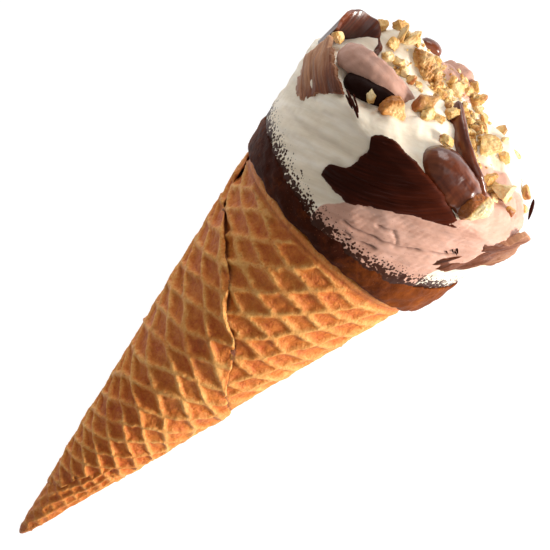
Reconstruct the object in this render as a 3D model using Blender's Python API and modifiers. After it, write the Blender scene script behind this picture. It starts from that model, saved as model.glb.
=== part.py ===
"""A filled ice cream cone lying on its side: a rolled wafer, ice cream in two flavours,
chocolate plates and curls, and roasted peanut pieces.

Every piece is modelled upright in the cone's own frame, in metres: the sides of the wafer
would meet at the origin, +Z runs along the axis to the head, -Y faces the side that shows,
and +X is that side's right. The empty "cone_axis" then lays the cone down with its head
towards world +X, and a cut just above the ground gives it a narrow flat to rest on.
"""

import math
import random

import bmesh
import bpy
import numpy as np
from mathutils import Matrix, Vector

# Driving dimensions of the wafer.
RIM_RADIUS = 0.0245  # outside, where the wafer ends
RIM_HEIGHT = 0.110  # along the axis, from the point where the sides would meet
TIP_HEIGHT = 0.0040  # the folded tip's end
TIP_RADIUS = 0.0014
FLOOR_OF_CONE = 0.0140  # where the hollow inside the tip begins
WAFER_WALL = 0.0015
ROLL_STEP = 0.0007  # the outer turn of the wafer stands this proud of the turn under it
SEAM_WIDTH = 0.0004

# Driving dimensions of the head.
EDGE_HEIGHT = 0.1385  # where the moulded side of the head turns over into its top
CROWN_HEIGHT = 0.1450
SIDE_BULGE = 0.0007  # the head stands this proud of the wafer's flare at its left and right
BAND_LOW = 0.1103
BAND_MIDDLE = 0.1143  # height of the chocolate band's upper edge where it is lowest
BAND_RISE = 0.0052
BAND_EDGE = 0.0006  # thickness of the band along its upper edge

# Rows of the head's profile: radii across its top, heights down its side.
CROWN_RADII = (0, 0.004, 0.008, 0.012, 0.016, 0.020, 0.024, 0.027, 0.029)
SIDE_HEIGHTS = (0.1378, 0.134, 0.130, 0.125)
CORE_HEIGHTS = (BAND_LOW, 0.065, 0.020)  # inside the wafer
FILLING_FLOOR = 0.0180
TOP_ABOVE = 0.1382  # rows over this height belong to the top and rise with its lobes
SIDE_ABOVE = 0.124  # rows over this height belong to the side
SIDE_FOLLOWS_BELOW = 0.131  # side rows under this height follow the band's rise in part
SIDE_FOLLOW_SHARE = 0.4
CROWN_WIDENS_BEYOND = 0.026  # radius over which the top takes the side's bulge

SHEET_THICKNESS = 0.0014  # of the chocolate sheets on the head's side
GAP = 0.0003  # between any two pieces
CUTTER_GROWTH = 0.0004  # a little more, because it is measured along slanting normals
PLATE_CUTTER_GROWTH = 0.0006  # sharp edges slant the normals further
REST_FLAT_DEPTH = 0.00035  # how far the ground cuts into the round side
TURN_STEPS = 48

SLOPE = RIM_RADIUS / RIM_HEIGHT
FLARE = math.atan(SLOPE)
WALL_ACROSS = WAFER_WALL / math.cos(FLARE)
FILLING_INSET = WALL_ACROSS + GAP / math.cos(FLARE)

# The outer turn's edge: (angle round the axis in degrees, height). It runs down from the
# rim at the left, crosses the shown side and comes back to the rim behind.
SEAM = (
    (-180, 0.1050),
    (-84, 0.1050),
    (-76, 0.0990),
    (-47, 0.0950),
    (-16, 0.0876),
    (-5, 0.0825),
    (11, 0.0804),
    (29, 0.0715),
    (60, 0.0640),
    (100, 0.0640),
    (180, 0.1050),
)

# Lobes of the piped top: (x, y, added height, half width in x, half width in y).
LOBES = (
    (-0.0025, -0.0150, 0.0048, 0.0072, 0.0062),
    (-0.0150, -0.0030, 0.0055, 0.0075, 0.0062),
    (0.0150, 0.0080, 0.0036, 0.0100, 0.0080),
    (0.0240, -0.0110, 0.0022, 0.0055, 0.0060),
    (-0.0020, 0.0060, 0.0058, 0.0070, 0.0060),
    (-0.0130, 0.0110, 0.0052, 0.0070, 0.0075),
    (0.0020, 0.0200, 0.0030, 0.0070, 0.0060),
    (-0.0160, -0.0200, -0.0022, 0.0050, 0.0045),
    (0.0130, -0.0075, -0.0038, 0.0070, 0.0055),
)

# Outline of the chocolate ice cream where it comes to the head's side, seen from 30 degrees
# to the right: (sideways, height). It runs in towards the core, up to STREAM_CORE.
STREAM_FACING = 30
STREAM_CORE = 0.014
STREAM = (
    (-0.0130, 0.1000),
    (-0.0165, 0.1157),
    (-0.0150, 0.1205),
    (-0.0100, 0.1250),
    (-0.0020, 0.1298),
    (0.0048, 0.1335),
    (0.0085, 0.1390),
    (0.0100, 0.1500),
    (0.0210, 0.1500),
    (0.0190, 0.1385),
    (0.0118, 0.1336),
    (0.0104, 0.1286),
    (0.0089, 0.1223),
    (0.0100, 0.1179),
    (0.0070, 0.1000),
)

# Colours and finishes: name -> (base colour, roughness).
FINISHES = {
    "baked_wafer": ((0.50, 0.20, 0.055), 0.75),
    "vanilla_ice_cream": ((0.84, 0.76, 0.64), 0.55),
    "chocolate_ice_cream": ((0.45, 0.24, 0.18), 0.60),
    "dark_chocolate": ((0.030, 0.0075, 0.004), 0.35),
    "milk_chocolate": ((0.10, 0.030, 0.013), 0.40),
    "chocolate_coating": ((0.040, 0.012, 0.006), 0.55),
    "roasted_peanut": ((0.62, 0.30, 0.07), 0.60),
}


def clear_scene():
    """Removes every object of the scene."""
    for obj in list(bpy.data.objects):
        bpy.data.objects.remove(obj, do_unlink=True)


def collection_named(name, parent=None):
    """A new collection, linked to the scene or to another collection."""
    made = bpy.data.collections.new(name)
    (parent or bpy.context.scene.collection).children.link(made)
    return made


def material_named(name):
    """The Principled material of one of the finishes."""
    found = bpy.data.materials.get(name)
    if found:
        return found
    colour, roughness = FINISHES[name]
    made = bpy.data.materials.new(name)
    made.use_nodes = True
    shader = made.node_tree.nodes["Principled BSDF"]
    shader.inputs["Base Color"].default_value = (*colour, 1)
    shader.inputs["Roughness"].default_value = roughness
    shader.inputs["Metallic"].default_value = 0
    return made


def new_object(name, data, collection, finish=None):
    """An object that holds the data, in the collection, with the finish's material."""
    obj = bpy.data.objects.new(name, data)
    collection.objects.link(obj)
    if finish:
        data.materials.append(material_named(finish))
    return obj


def baked(obj):
    """The object with its modifiers, or its curve, turned into a plain welded mesh."""
    bpy.context.view_layer.update()
    graph = bpy.context.evaluated_depsgraph_get()
    mesh = bpy.data.meshes.new_from_object(obj.evaluated_get(graph))
    shape = bmesh.new()
    shape.from_mesh(mesh)
    bmesh.ops.remove_doubles(shape, verts=shape.verts, dist=1e-6)
    shape.to_mesh(mesh)
    shape.free()
    made = bpy.data.objects.new(obj.name + "_baked", mesh)
    made.matrix_world = obj.matrix_world.copy()
    for collection in obj.users_collection:
        collection.objects.link(made)
    name = obj.name
    bpy.data.objects.remove(obj, do_unlink=True)
    made.name = name
    made.data.name = name
    return made


def smooth_shaded(obj):
    """Smooth shading with the real edges kept sharp."""
    obj.data.shade_smooth()
    obj.data.set_sharp_from_angle(angle=math.radians(40))
    return obj


def reshape(obj, rule):
    """Moves every vertex by rule(points), an array function of the mesh's points."""
    points = np.empty(len(obj.data.vertices) * 3, np.float64)
    obj.data.vertices.foreach_get("co", points)
    points = rule(points.reshape(-1, 3))
    obj.data.vertices.foreach_set("co", points.reshape(-1))
    obj.data.update()
    return obj


def turned(name, profile, collection, finish=None, closed=False, steps=TURN_STEPS):
    """A solid of revolution about Z from (radius, height) points, down the outer side."""
    mesh = bpy.data.meshes.new(name)
    count = len(profile)
    edges = [(i, i + 1) for i in range(count - 1)] + ([(count - 1, 0)] if closed else [])
    mesh.from_pydata([(r, 0, z) for r, z in profile], edges, [])
    obj = new_object(name, mesh, collection, finish)
    screw = obj.modifiers.new("turn", "SCREW")
    screw.axis = "Z"
    screw.steps = screw.render_steps = steps
    screw.use_merge_vertices = True
    screw.merge_threshold = 1e-5
    return baked(obj)


def main_body(obj):
    """Drops the crumbs that a cut leaves loose: only the body with the most faces stays."""
    shape = bmesh.new()
    shape.from_mesh(obj.data)
    unseen, bodies = set(shape.verts), []
    while unseen:
        body, edge = set(), [unseen.pop()]
        while edge:
            vertex = edge.pop()
            body.add(vertex)
            near = {link.other_vert(vertex) for link in vertex.link_edges} & unseen
            unseen -= near
            edge.extend(near)
        bodies.append(body)
    bodies.sort(key=len)
    crumbs = [vertex for body in bodies[:-1] for vertex in body]
    bmesh.ops.delete(shape, geom=crumbs, context="VERTS")
    shape.to_mesh(obj.data)
    shape.free()
    return obj


def solver_for(obj):
    """The exact solver, except for the vanilla: it loses that body among so many cutters."""
    return "MANIFOLD" if obj.name.startswith("vanilla") else "EXACT"


def cut(obj, cutters, operation="DIFFERENCE"):
    """The object after a Boolean with each cutter."""
    for cutter in cutters:
        boolean = obj.modifiers.new("cut_" + cutter.name, "BOOLEAN")
        boolean.operation = operation
        boolean.solver = solver_for(obj)
        boolean.object = cutter
    return main_body(baked(obj))


def as_cutter(obj, cutters):
    """Hides the object from the result and shows it as a wire."""
    for collection in list(obj.users_collection):
        collection.objects.unlink(obj)
    cutters.objects.link(obj)
    obj.hide_render = True
    obj.display_type = "WIRE"
    return obj


def grown(obj, cutters, amount=CUTTER_GROWTH):
    """A cutter: the piece's copy, grown along its normals by a little over the gap."""
    copy = bpy.data.objects.new("room_for_" + obj.name, obj.data.copy())
    copy.matrix_world = obj.matrix_world.copy()
    cutters.objects.link(copy)
    swell = copy.modifiers.new("swell", "DISPLACE")
    swell.strength = amount
    swell.mid_level = 0
    return as_cutter(baked(copy), cutters)


def interpolated(table, at):
    """Smoothed reading of (place, value) points with cosine easing between them."""
    places = np.array([p for p, _ in table], float)
    values = np.array([v for _, v in table], float)
    index = np.clip(np.searchsorted(places, at) - 1, 0, len(places) - 2)
    share = np.clip((at - places[index]) / (places[index + 1] - places[index]), 0, 1)
    eased = (1 - np.cos(np.pi * share)) / 2
    return values[index] + (values[index + 1] - values[index]) * eased


def angle_of(points):
    """Degrees round the axis: 0 on the shown side, positive to its right."""
    return np.degrees(np.arctan2(points[:, 0], -points[:, 1]))


def side_radius(height, angle):
    """Radius of the head's moulded side: the wafer's flare, fuller at left and right."""
    return height * SLOPE + SIDE_BULGE * np.sin(np.radians(angle)) ** 2


def waffle_cone(collection):
    """The rolled wafer: a shell whose outer turn ends in a raised, slanting seam."""
    seam_ring = 0.080
    outer = [0.110, 0.106, 0.100, 0.090, seam_ring + SEAM_WIDTH / 2]
    outer += [seam_ring - SEAM_WIDTH / 2, 0.070, 0.055, 0.040, 0.025, 0.012]
    lip = 0.0003
    profile = [(0, FLOOR_OF_CONE + 0.001)]
    profile += [(h * SLOPE - WALL_ACROSS, h) for h in (0.017, 0.045, 0.075, RIM_HEIGHT - lip)]
    profile += [(RIM_RADIUS - WALL_ACROSS + lip, RIM_HEIGHT)]
    profile += [(RIM_RADIUS - lip, RIM_HEIGHT)]
    profile += [(h * SLOPE, h - (lip if h == RIM_HEIGHT else 0)) for h in outer]
    profile += [(TIP_RADIUS, TIP_HEIGHT + 0.002), (TIP_RADIUS * 0.7, TIP_HEIGHT + 0.0004)]
    profile += [(0, TIP_HEIGHT)]

    def roll(points):
        angle, height = angle_of(points), points[:, 2]
        radius = np.hypot(points[:, 0], points[:, 1])
        outside = (radius > height * SLOPE - 0.0004) & (height > 0.008)
        seam = interpolated(SEAM, angle)
        below = height < seam_ring
        share = np.where(below, height / seam_ring, (height - seam_ring) / (RIM_HEIGHT - seam_ring))
        moved = np.where(below, seam * share, seam + (RIM_HEIGHT - seam) * share)
        near = np.abs(height - seam_ring) < SEAM_WIDTH
        moved = np.where(near, seam + (height - seam_ring), moved)
        moved = np.where(outside & (height < RIM_HEIGHT - 0.001), moved, height)
        # Above the seam the under turn shows, and it climbs to the outer turn's level behind.
        covered = np.clip((-80 - angle) / 6, 0, 1) + np.clip((angle - 70) / 70, 0, 1)
        proud = np.where(height < seam_ring, 1.0, np.clip(covered, 0, 1))
        fade = np.clip((height - 0.008) / 0.012, 0, 1)
        wanted = moved * SLOPE - ROLL_STEP * (1 - proud) * fade
        factor = np.where(outside, wanted / np.maximum(radius, 1e-6), 1.0)
        lip_ring = outside & (height > RIM_HEIGHT - 0.001)
        factor = np.where(lip_ring, 1.0, factor)
        return np.stack([points[:, 0] * factor, points[:, 1] * factor, moved], 1)

    cone = turned("waffle_cone", profile, collection, "baked_wafer")
    return smooth_shaded(reshape(cone, roll))


def band_top(angle):
    """Height of the band's upper edge, lowest in the middle of the shown side."""
    wave = 0.0003 * np.sin(np.radians(angle * 5))
    return BAND_MIDDLE + BAND_RISE * np.sin(np.radians(angle)) ** 2 + wave


def chocolate_band(collection):
    """The chocolate coat just above the rim: a ring that thins to its upper edge."""
    profile = [(1, 3), (1, 2), (1, 1), (1, 0), (0, 0), (0, 1), (0, 2), (0, 3)]
    levels = 3

    def shape(points):
        angle = angle_of(points)
        outer = np.hypot(points[:, 0], points[:, 1]) > 0.75
        share = points[:, 2] / levels
        height = BAND_LOW + (band_top(angle) - BAND_LOW) * share
        thickness = WALL_ACROSS * (1 - share) + BAND_EDGE * share
        radius = side_radius(height, angle) - np.where(outer, 0, thickness)
        turn = np.radians(angle)
        return np.stack([radius * np.sin(turn), -radius * np.cos(turn), height], 1)

    narrow = [(0.5 + 0.5 * r, z) for r, z in profile]
    band = turned("chocolate_band", narrow, collection, "chocolate_coating", closed=True)
    return smooth_shaded(reshape(band, shape))


def lobed(points):
    """Height that the piped lobes add at each point of the top."""
    added = np.zeros(len(points))
    for x, y, height, half_x, half_y in LOBES:
        away = ((points[:, 0] - x) / half_x) ** 2 + ((points[:, 1] - y) / half_y) ** 2
        added += height * np.exp(-away)
    return added


def dome_height(radius):
    """Height of the plain crown at a radius, without its lobes."""
    edge = EDGE_HEIGHT * SLOPE
    share = np.clip(radius / edge, 0, 1)
    return CROWN_HEIGHT - (CROWN_HEIGHT - EDGE_HEIGHT) * share**3


def top_height(x, y):
    """Height of the vanilla's top over one place."""
    place = np.array([[x, y, 0.0]])
    return float(dome_height(math.hypot(x, y)) + lobed(place)[0])


def whole_filling(name, collection, finish):
    """Everything inside the wafer and above it as one body: the stock for both flavours."""
    profile = [(r, float(dome_height(r))) for r in CROWN_RADII]
    profile += [(h * SLOPE, h) for h in SIDE_HEIGHTS]
    shelf = BAND_MIDDLE + GAP
    shelf_in = shelf * SLOPE - BAND_EDGE - GAP
    profile += [(shelf * SLOPE, shelf), (shelf_in, shelf - 0.00005)]
    profile += [(h * SLOPE - FILLING_INSET, h) for h in CORE_HEIGHTS]
    profile += [(0, FILLING_FLOOR)]

    def pipe(points):
        angle, height = angle_of(points), points[:, 2].copy()
        radius = np.hypot(points[:, 0], points[:, 1])
        top = height > TOP_ABOVE
        height = np.where(top, height + lobed(points), height)
        lift = band_top(angle) - BAND_MIDDLE
        shelf_ring = np.abs(points[:, 2] - shelf) < 0.0002
        inner_ring = shelf_ring & (radius < shelf_in + 0.0001)
        side = (height > SIDE_ABOVE) & ~top
        height = np.where(shelf_ring, height + lift, height)
        follows = side & (points[:, 2] < SIDE_FOLLOWS_BELOW)
        height = np.where(follows, height + lift * SIDE_FOLLOW_SHARE, height)
        radius = np.where(side | shelf_ring, side_radius(height, angle), radius)
        radius = np.where(inner_ring, radius - BAND_EDGE - GAP, radius)
        turn = np.radians(angle)
        widens = top & (radius > CROWN_WIDENS_BEYOND)
        radius = np.where(widens, radius + SIDE_BULGE * np.sin(turn) ** 2, radius)
        return np.stack([radius * np.sin(turn), -radius * np.cos(turn), height], 1)

    return reshape(turned(name, profile, collection, finish), pipe)


def tube(name, path, radii, collection, finish=None):
    """A round bar along a smooth curve through the points, with a radius at each point."""
    data = bpy.data.curves.new(name, "CURVE")
    data.dimensions = "3D"
    data.bevel_depth = 1
    data.bevel_resolution = 2
    data.resolution_u = 3
    data.use_fill_caps = True
    spline = data.splines.new("BEZIER")
    spline.bezier_points.add(len(path) - 1)
    for point, place, radius in zip(spline.bezier_points, path, radii):
        point.co = place
        point.handle_left_type = point.handle_right_type = "AUTO"
        point.radius = radius
    return baked(new_object(name, data, collection, finish))


def outline_prism(name, facing, outline, reach, collection, cutters, soft=False):
    """A cutter: the (sideways, height) outline carried radially between the two radii of
    reach, at the facing angle in degrees. A soft outline is rounded between its points."""
    data = bpy.data.curves.new(name, "CURVE")
    data.dimensions = "2D"
    data.fill_mode = "BOTH"
    data.extrude = (reach[1] - reach[0]) / 2
    data.resolution_u = 3
    spline = data.splines.new("BEZIER")
    spline.use_cyclic_u = True
    spline.bezier_points.add(len(outline) - 1)
    for point, (across, height) in zip(spline.bezier_points, outline):
        point.co = (across, height, 0)
        point.handle_left_type = point.handle_right_type = "AUTO" if soft else "VECTOR"
    prism = new_object(name, data, collection)
    prism.matrix_world = (
        Matrix.Rotation(math.radians(facing), 4, "Z")
        @ Matrix.Translation((0, -(reach[0] + reach[1]) / 2, 0))
        @ Matrix.Rotation(math.pi / 2, 4, "X")
    )
    return as_cutter(baked(prism), cutters)


def stream(name, turn_by, collection, cutters, pieces):
    """A wedge of chocolate ice cream wound through the head, flush with it outside.

    It is cut to the whole filling's outline, so that it runs on the same surface."""
    facing = STREAM_FACING + turn_by
    reach = (STREAM_CORE, 0.042)
    wedge = outline_prism(name + "_wedge", facing, STREAM, reach, collection, cutters, soft=True)
    body = whole_filling(name, collection, "chocolate_ice_cream")
    pieces.append(smooth_shaded(cut(body, [wedge], "INTERSECT")))
    return grown(wedge, cutters, PLATE_CUTTER_GROWTH)


def side_patch(name, facing, outline, proud, thickness, collection, cutters, finish):
    """A thin plate lying in the head's side: (sideways, height) points as a flat outline,
    pushed radially through a turned shell. Its place round the head is facing, in degrees."""
    low = min(z for _, z in outline) - 0.002
    high = max(z for _, z in outline) + 0.002
    rows = [high - (high - low) * share for share in (0, 0.5, 1)]
    shell = [(z * SLOPE + proud, z) for z in rows]
    shell += [(z * SLOPE + proud - thickness, z) for z in reversed(rows)]
    plate = turned(name, shell, collection, finish, closed=True, steps=54)

    def bulge(points):
        swell = 1 + SIDE_BULGE * np.sin(np.radians(angle_of(points))) ** 2 / 0.029
        return points * np.stack([swell, swell, np.ones(len(points))], 1)

    reshape(plate, bulge)
    prism = outline_prism(name + "_outline", facing, outline, (0.018, 0.042), collection, cutters)
    return smooth_shaded(cut(plate, [prism], "INTERSECT"))


def ellipsoid(name, centre, radii, collection, finish, turn=(0, 0, 0), segments=14, rings=9):
    """A ball scaled to three radii and turned, with its place in its mesh."""
    shape = bmesh.new()
    bmesh.ops.create_uvsphere(shape, u_segments=segments, v_segments=rings, radius=1)
    place = Matrix.Translation(centre)
    for axis, degrees in zip("XYZ", turn):
        place = place @ Matrix.Rotation(math.radians(degrees), 4, axis)
    place = place @ Matrix.Diagonal((*radii, 1))
    bmesh.ops.transform(shape, matrix=place, verts=shape.verts)
    mesh = bpy.data.meshes.new(name)
    shape.to_mesh(mesh)
    shape.free()
    return smooth_shaded(new_object(name, mesh, collection, finish))


def curled_sheet(name, centre, radius, sweep, height, thickness, lean, collection, finish):
    """A shaving that stands up and curls round: part of a turned wall, with a slanting rim."""
    mesh = bpy.data.meshes.new(name)
    mesh.from_pydata([(radius * 1.12, 0, height), (radius, 0, 0)], [(0, 1)], [])
    obj = new_object(name, mesh, collection, finish)
    screw = obj.modifiers.new("curl", "SCREW")
    screw.axis = "Z"
    screw.steps = screw.render_steps = 14
    screw.angle = math.radians(sweep[1] - sweep[0])
    wall = obj.modifiers.new("wall", "SOLIDIFY")
    wall.thickness = thickness
    wall.offset = 0
    obj = baked(obj)

    def stand(points):
        start = math.radians(sweep[0])
        turned_x = points[:, 0] * math.cos(start) - points[:, 1] * math.sin(start)
        turned_y = points[:, 0] * math.sin(start) + points[:, 1] * math.cos(start)
        raised = points[:, 2] * (1 + lean * turned_x / radius)
        return np.stack([turned_x + centre[0], turned_y + centre[1], raised + centre[2]], 1)

    return smooth_shaded(reshape(obj, stand))


def ribbon(name, path, depth, thickness, collection, finish):
    """A sheet standing on edge: its top edge runs along the path, and it goes down by depth."""
    mesh = bpy.data.meshes.new(name)
    count = len(path)
    low = [(x, y, z - depth) for x, y, z in path]
    faces = [(i, i + 1, count + i + 1, count + i) for i in range(count - 1)]
    mesh.from_pydata([*path, *low], [], faces)
    obj = new_object(name, mesh, collection, finish)
    wall = obj.modifiers.new("wall", "SOLIDIFY")
    wall.thickness = thickness
    wall.offset = 0
    return smooth_shaded(baked(obj))


def peanut_piece(name, centre, size, turn, seed, collection):
    """A broken bit of roasted peanut: a ball with a few flat breaks."""
    piece = ellipsoid(name, (0, 0, 0), (1, 1, 1), collection, "roasted_peanut", segments=8, rings=6)
    shape = bmesh.new()
    shape.from_mesh(piece.data)
    chance = random.Random(seed)
    for _ in range(4):
        normal = Vector([chance.uniform(-1, 1) for _ in range(3)]).normalized()
        plane = normal * chance.uniform(0.55, 0.8)
        geometry = [*shape.verts, *shape.edges, *shape.faces]
        made = bmesh.ops.bisect_plane(
            shape, geom=geometry, dist=1e-5, plane_co=plane, plane_no=normal, clear_outer=True
        )
        rim = [item for item in made["geom_cut"] if isinstance(item, bmesh.types.BMEdge)]
        bmesh.ops.holes_fill(shape, edges=rim, sides=0)
    place = Matrix.Translation(centre)
    for axis, degrees in zip("XYZ", turn):
        place = place @ Matrix.Rotation(math.radians(degrees), 4, axis)
    place = place @ Matrix.Diagonal((*[side / 2 for side in size], 1))
    bmesh.ops.transform(shape, matrix=place, verts=shape.verts)
    bmesh.ops.recalc_face_normals(shape, faces=shape.faces)
    shape.to_mesh(piece.data)
    shape.free()
    piece.data.shade_flat()
    return piece


def peanut_pieces(collection):
    """The larger bits of nut, each as (x, y, height over the surface, size, turn)."""
    bits = {
        "peanut_half": (0.0186, -0.0262, 0.1392, (0.0060, 0.0042, 0.0073), (0, 20, 15)),
        "peanut_caramel": (-0.0078, -0.0245, 0.1417, (0.0056, 0.0048, 0.0056), (20, 0, 30)),
        "peanut_right_a": (0.0170, -0.0120, None, (0.0052, 0.0042, 0.0050), (0, 30, 0)),
        "peanut_right_b": (0.0218, -0.0105, None, (0.0055, 0.0042, 0.0046), (30, 0, 60)),
        "peanut_back_right": (0.0122, -0.0050, None, (0.0050, 0.0045, 0.0056), (0, 15, 20)),
        "peanut_back_tall": (0.0030, 0.0020, None, (0.0030, 0.0030, 0.0052), (0, -15, 0)),
        "peanut_left_pair": (-0.0180, -0.0030, None, (0.0042, 0.0038, 0.0050), (0, 25, 40)),
        "peanut_middle": (-0.0100, 0.0000, None, (0.0062, 0.0040, 0.0036), (10, 10, 10)),
        "peanut_left_edge": (-0.0270, -0.0110, 0.1415, (0.0030, 0.0026, 0.0036), (0, 40, 0)),
    }
    sunk = 0.0010
    made = []
    for seed, (name, (x, y, height, size, turn)) in enumerate(bits.items(), start=3):
        middle = top_height(x, y) + size[2] / 2 - sunk if height is None else height
        made.append(peanut_piece(name, (x, y, middle), size, turn, seed, collection))
    return made


def chocolate_pieces(collection, cutters):
    """The plates, roll, ribbon, scrolls and pool of chocolate, from the front to the back."""
    plate = [(-0.0093, 0.1250), (-0.0091, 0.1217), (-0.0006, 0.1219), (0.0012, 0.1238)]
    plate += [(0.0048, 0.1260), (0.0110, 0.1302), (0.0192, 0.1344), (0.0110, 0.1375)]
    plate += [(0.0033, 0.1384), (-0.0030, 0.1383), (-0.0060, 0.1375), (-0.0073, 0.1358)]
    plate += [(-0.0054, 0.1330), (-0.0058, 0.1280), (-0.0066, 0.1266)]
    behind = [(-x * 0.9, z - 0.002) for x, z in reversed(plate)]
    curl = [(-0.0100, 0.1234), (-0.0055, 0.1232), (0.0010, 0.1262), (0.0075, 0.1305)]
    curl += [(0.0110, 0.1350), (0.0090, 0.1378), (0.0020, 0.1377), (-0.0030, 0.1366)]
    curl += [(-0.0020, 0.1330), (-0.0035, 0.1295)]
    streaked = [(-0.0075, 0.1312), (-0.0035, 0.1276), (0.0012, 0.1288), (0.0045, 0.1336)]
    streaked += [(0.0105, 0.1374), (0.0000, 0.1377), (-0.0080, 0.1376)]
    ridge = [(0.0005, -0.0136, 0.1502), (0.0045, -0.0158, 0.1474), (0.0090, -0.0168, 0.1446)]
    ridge += [(0.0140, -0.0160, 0.1424), (0.0178, -0.0142, 0.1410)]
    sheets = (
        ("chocolate_plate", 0, plate, 0.0001, "dark_chocolate"),
        ("chocolate_plate_behind", 165, behind, 0.0, "dark_chocolate"),
        ("chocolate_curl_right", 60, curl, 0.0004, "milk_chocolate"),
        ("chocolate_side_left", -52, streaked, 0.0001, "milk_chocolate"),
    )
    made = [
        side_patch(name, facing, outline, proud, SHEET_THICKNESS, collection, cutters, finish)
        for name, facing, outline, proud, finish in sheets
    ]
    made += [
        ellipsoid("chocolate_roll", (0.0112, -0.0236, 0.1397), (0.0088, 0.0052, 0.0050), collection,
                  "dark_chocolate", turn=(0, 4, 12)),
        ribbon("chocolate_ribbon", ridge, 0.0060, 0.0020, collection, "dark_chocolate"),
        ellipsoid("chocolate_pool", (-0.0128, -0.0212, 0.1398), (0.0070, 0.0052, 0.0030), collection,
                  "dark_chocolate"),
        curled_sheet("chocolate_scroll_left", (-0.0232, -0.0040, 0.1370), 0.0058, (10, 235), 0.0098,
                     0.0010, 0.10, collection, "dark_chocolate"),
        ellipsoid("chocolate_knob", (-0.0125, 0.0090, top_height(-0.0125, 0.009)),
                  (0.0026, 0.0022, 0.0019), collection, "dark_chocolate", segments=10, rings=7),
    ]
    return made


def soft_lobes(collection):
    """The two loose lobes of chocolate ice cream: a tongue over the pool and the last twist."""
    tongue = [(-0.0275, -0.0130, 0.1395), (-0.0232, -0.0180, 0.1426), (-0.0160, -0.0212, 0.1444)]
    tongue += [(-0.0100, -0.0202, 0.1448), (-0.0050, -0.0160, 0.1435)]
    radii = (0.0023, 0.0030, 0.0029, 0.0023, 0.0014)
    lobe = tube("chocolate_ice_cream_tongue", tongue, radii, collection, "chocolate_ice_cream")
    twist = ellipsoid("chocolate_ice_cream_twist", (-0.0030, 0.0085, 0.1510),
                      (0.0042, 0.0050, 0.0036), collection, "chocolate_ice_cream")
    return [smooth_shaded(lobe), twist]


def lie_down(pieces, axis):
    """Parents the pieces to the axis empty, which lays the cone on its side on the ground."""
    across, along = Vector((0, -1, 0)), Vector((math.cos(FLARE), 0, math.sin(FLARE)))
    away = along.cross(across)
    turn = Matrix((across, away, along)).transposed().to_4x4()
    axis.matrix_world = Matrix.Translation((0, 0, -REST_FLAT_DEPTH)) @ turn
    for piece in pieces:
        piece.parent = axis
    bpy.context.view_layer.update()


def cut_at_ground(pieces, cutters):
    """Cuts the flat that the cone rests on: a slab just under the ground, in world space."""
    side, depth = 0.4, 0.02
    mesh = bpy.data.meshes.new("ground")
    shape = bmesh.new()
    bmesh.ops.create_cube(shape, size=1)
    place = Matrix.Translation((0, 0, -depth / 2)) @ Matrix.Diagonal((side, side, depth, 1))
    bmesh.ops.transform(shape, matrix=place, verts=shape.verts)
    shape.to_mesh(mesh)
    shape.free()
    ground = new_object("ground", mesh, cutters)
    as_cutter(ground, cutters)
    for piece in pieces:
        lowest = min((piece.matrix_world @ vertex.co).z for vertex in piece.data.vertices)
        if lowest < 0:
            boolean = piece.modifiers.new("rest_flat", "BOOLEAN")
            boolean.operation = "DIFFERENCE"
            boolean.solver = solver_for(piece)
            boolean.object = ground


def centre_over_origin(pieces, axis):
    """Moves the cone level with the ground until the middle of its box is over the origin."""
    corners = np.array([piece.matrix_world @ v.co for piece in pieces for v in piece.data.vertices])
    middle = (corners.min(0) + corners.max(0)) / 2
    axis.location.x -= middle[0]
    axis.location.y -= middle[1]
    bpy.context.view_layer.update()


def build():
    """Builds every piece, makes room for each in its neighbours, and lays the cone down."""
    clear_scene()
    cone = collection_named("ice_cream_cone")
    cutters = collection_named("cutters")
    peanuts = peanut_pieces(cone)
    peanut_room = [grown(piece, cutters) for piece in peanuts]
    chocolate, chocolate_room = [], []
    for piece in chocolate_pieces(cone, cutters):
        piece = cut(piece, peanut_room + chocolate_room)
        chocolate.append(piece)
        chocolate_room.append(grown(piece, cutters, PLATE_CUTTER_GROWTH))
    lobes = [cut(piece, peanut_room + chocolate_room) for piece in soft_lobes(cone)]
    lobe_room = [grown(piece, cutters) for piece in lobes]
    streams, stream_room = [], []
    for name, turn_by in (("front", 0), ("back", 170)):
        room = stream("chocolate_ice_cream_" + name, turn_by, cone, cutters, streams)
        stream_room.append(room)
    streams = [cut(piece, peanut_room + chocolate_room + lobe_room) for piece in streams]
    vanilla = whole_filling("vanilla_ice_cream", cone, "vanilla_ice_cream")
    rooms = stream_room + peanut_room + chocolate_room + lobe_room
    vanilla = cut(vanilla, rooms)
    wafer = waffle_cone(cone)
    band = chocolate_band(cone)
    pieces = [wafer, band, vanilla, *streams, *lobes, *chocolate, *peanuts]
    axis = new_object("cone_axis", None, cone)
    lie_down(pieces, axis)
    cut_at_ground(pieces, cutters)
    centre_over_origin(pieces, axis)


build()
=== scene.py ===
"""Looks of a filled ice cream cone that lies on its side.

The wafer, the two flavours, the chocolate and the nuts are surfaces worked out in the
cone's own frame, in millimetres: x to the right of the side that shows, y away from it, and
w along the axis, from the point where the wafer's sides would meet towards the head. An
angle round the axis is 0 on the shown side and positive to its right.
"""

import sys
import logging
import math
from dataclasses import dataclass
from enum import Enum

import bpy
import numpy as np
from mathutils import Matrix, Vector


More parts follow.
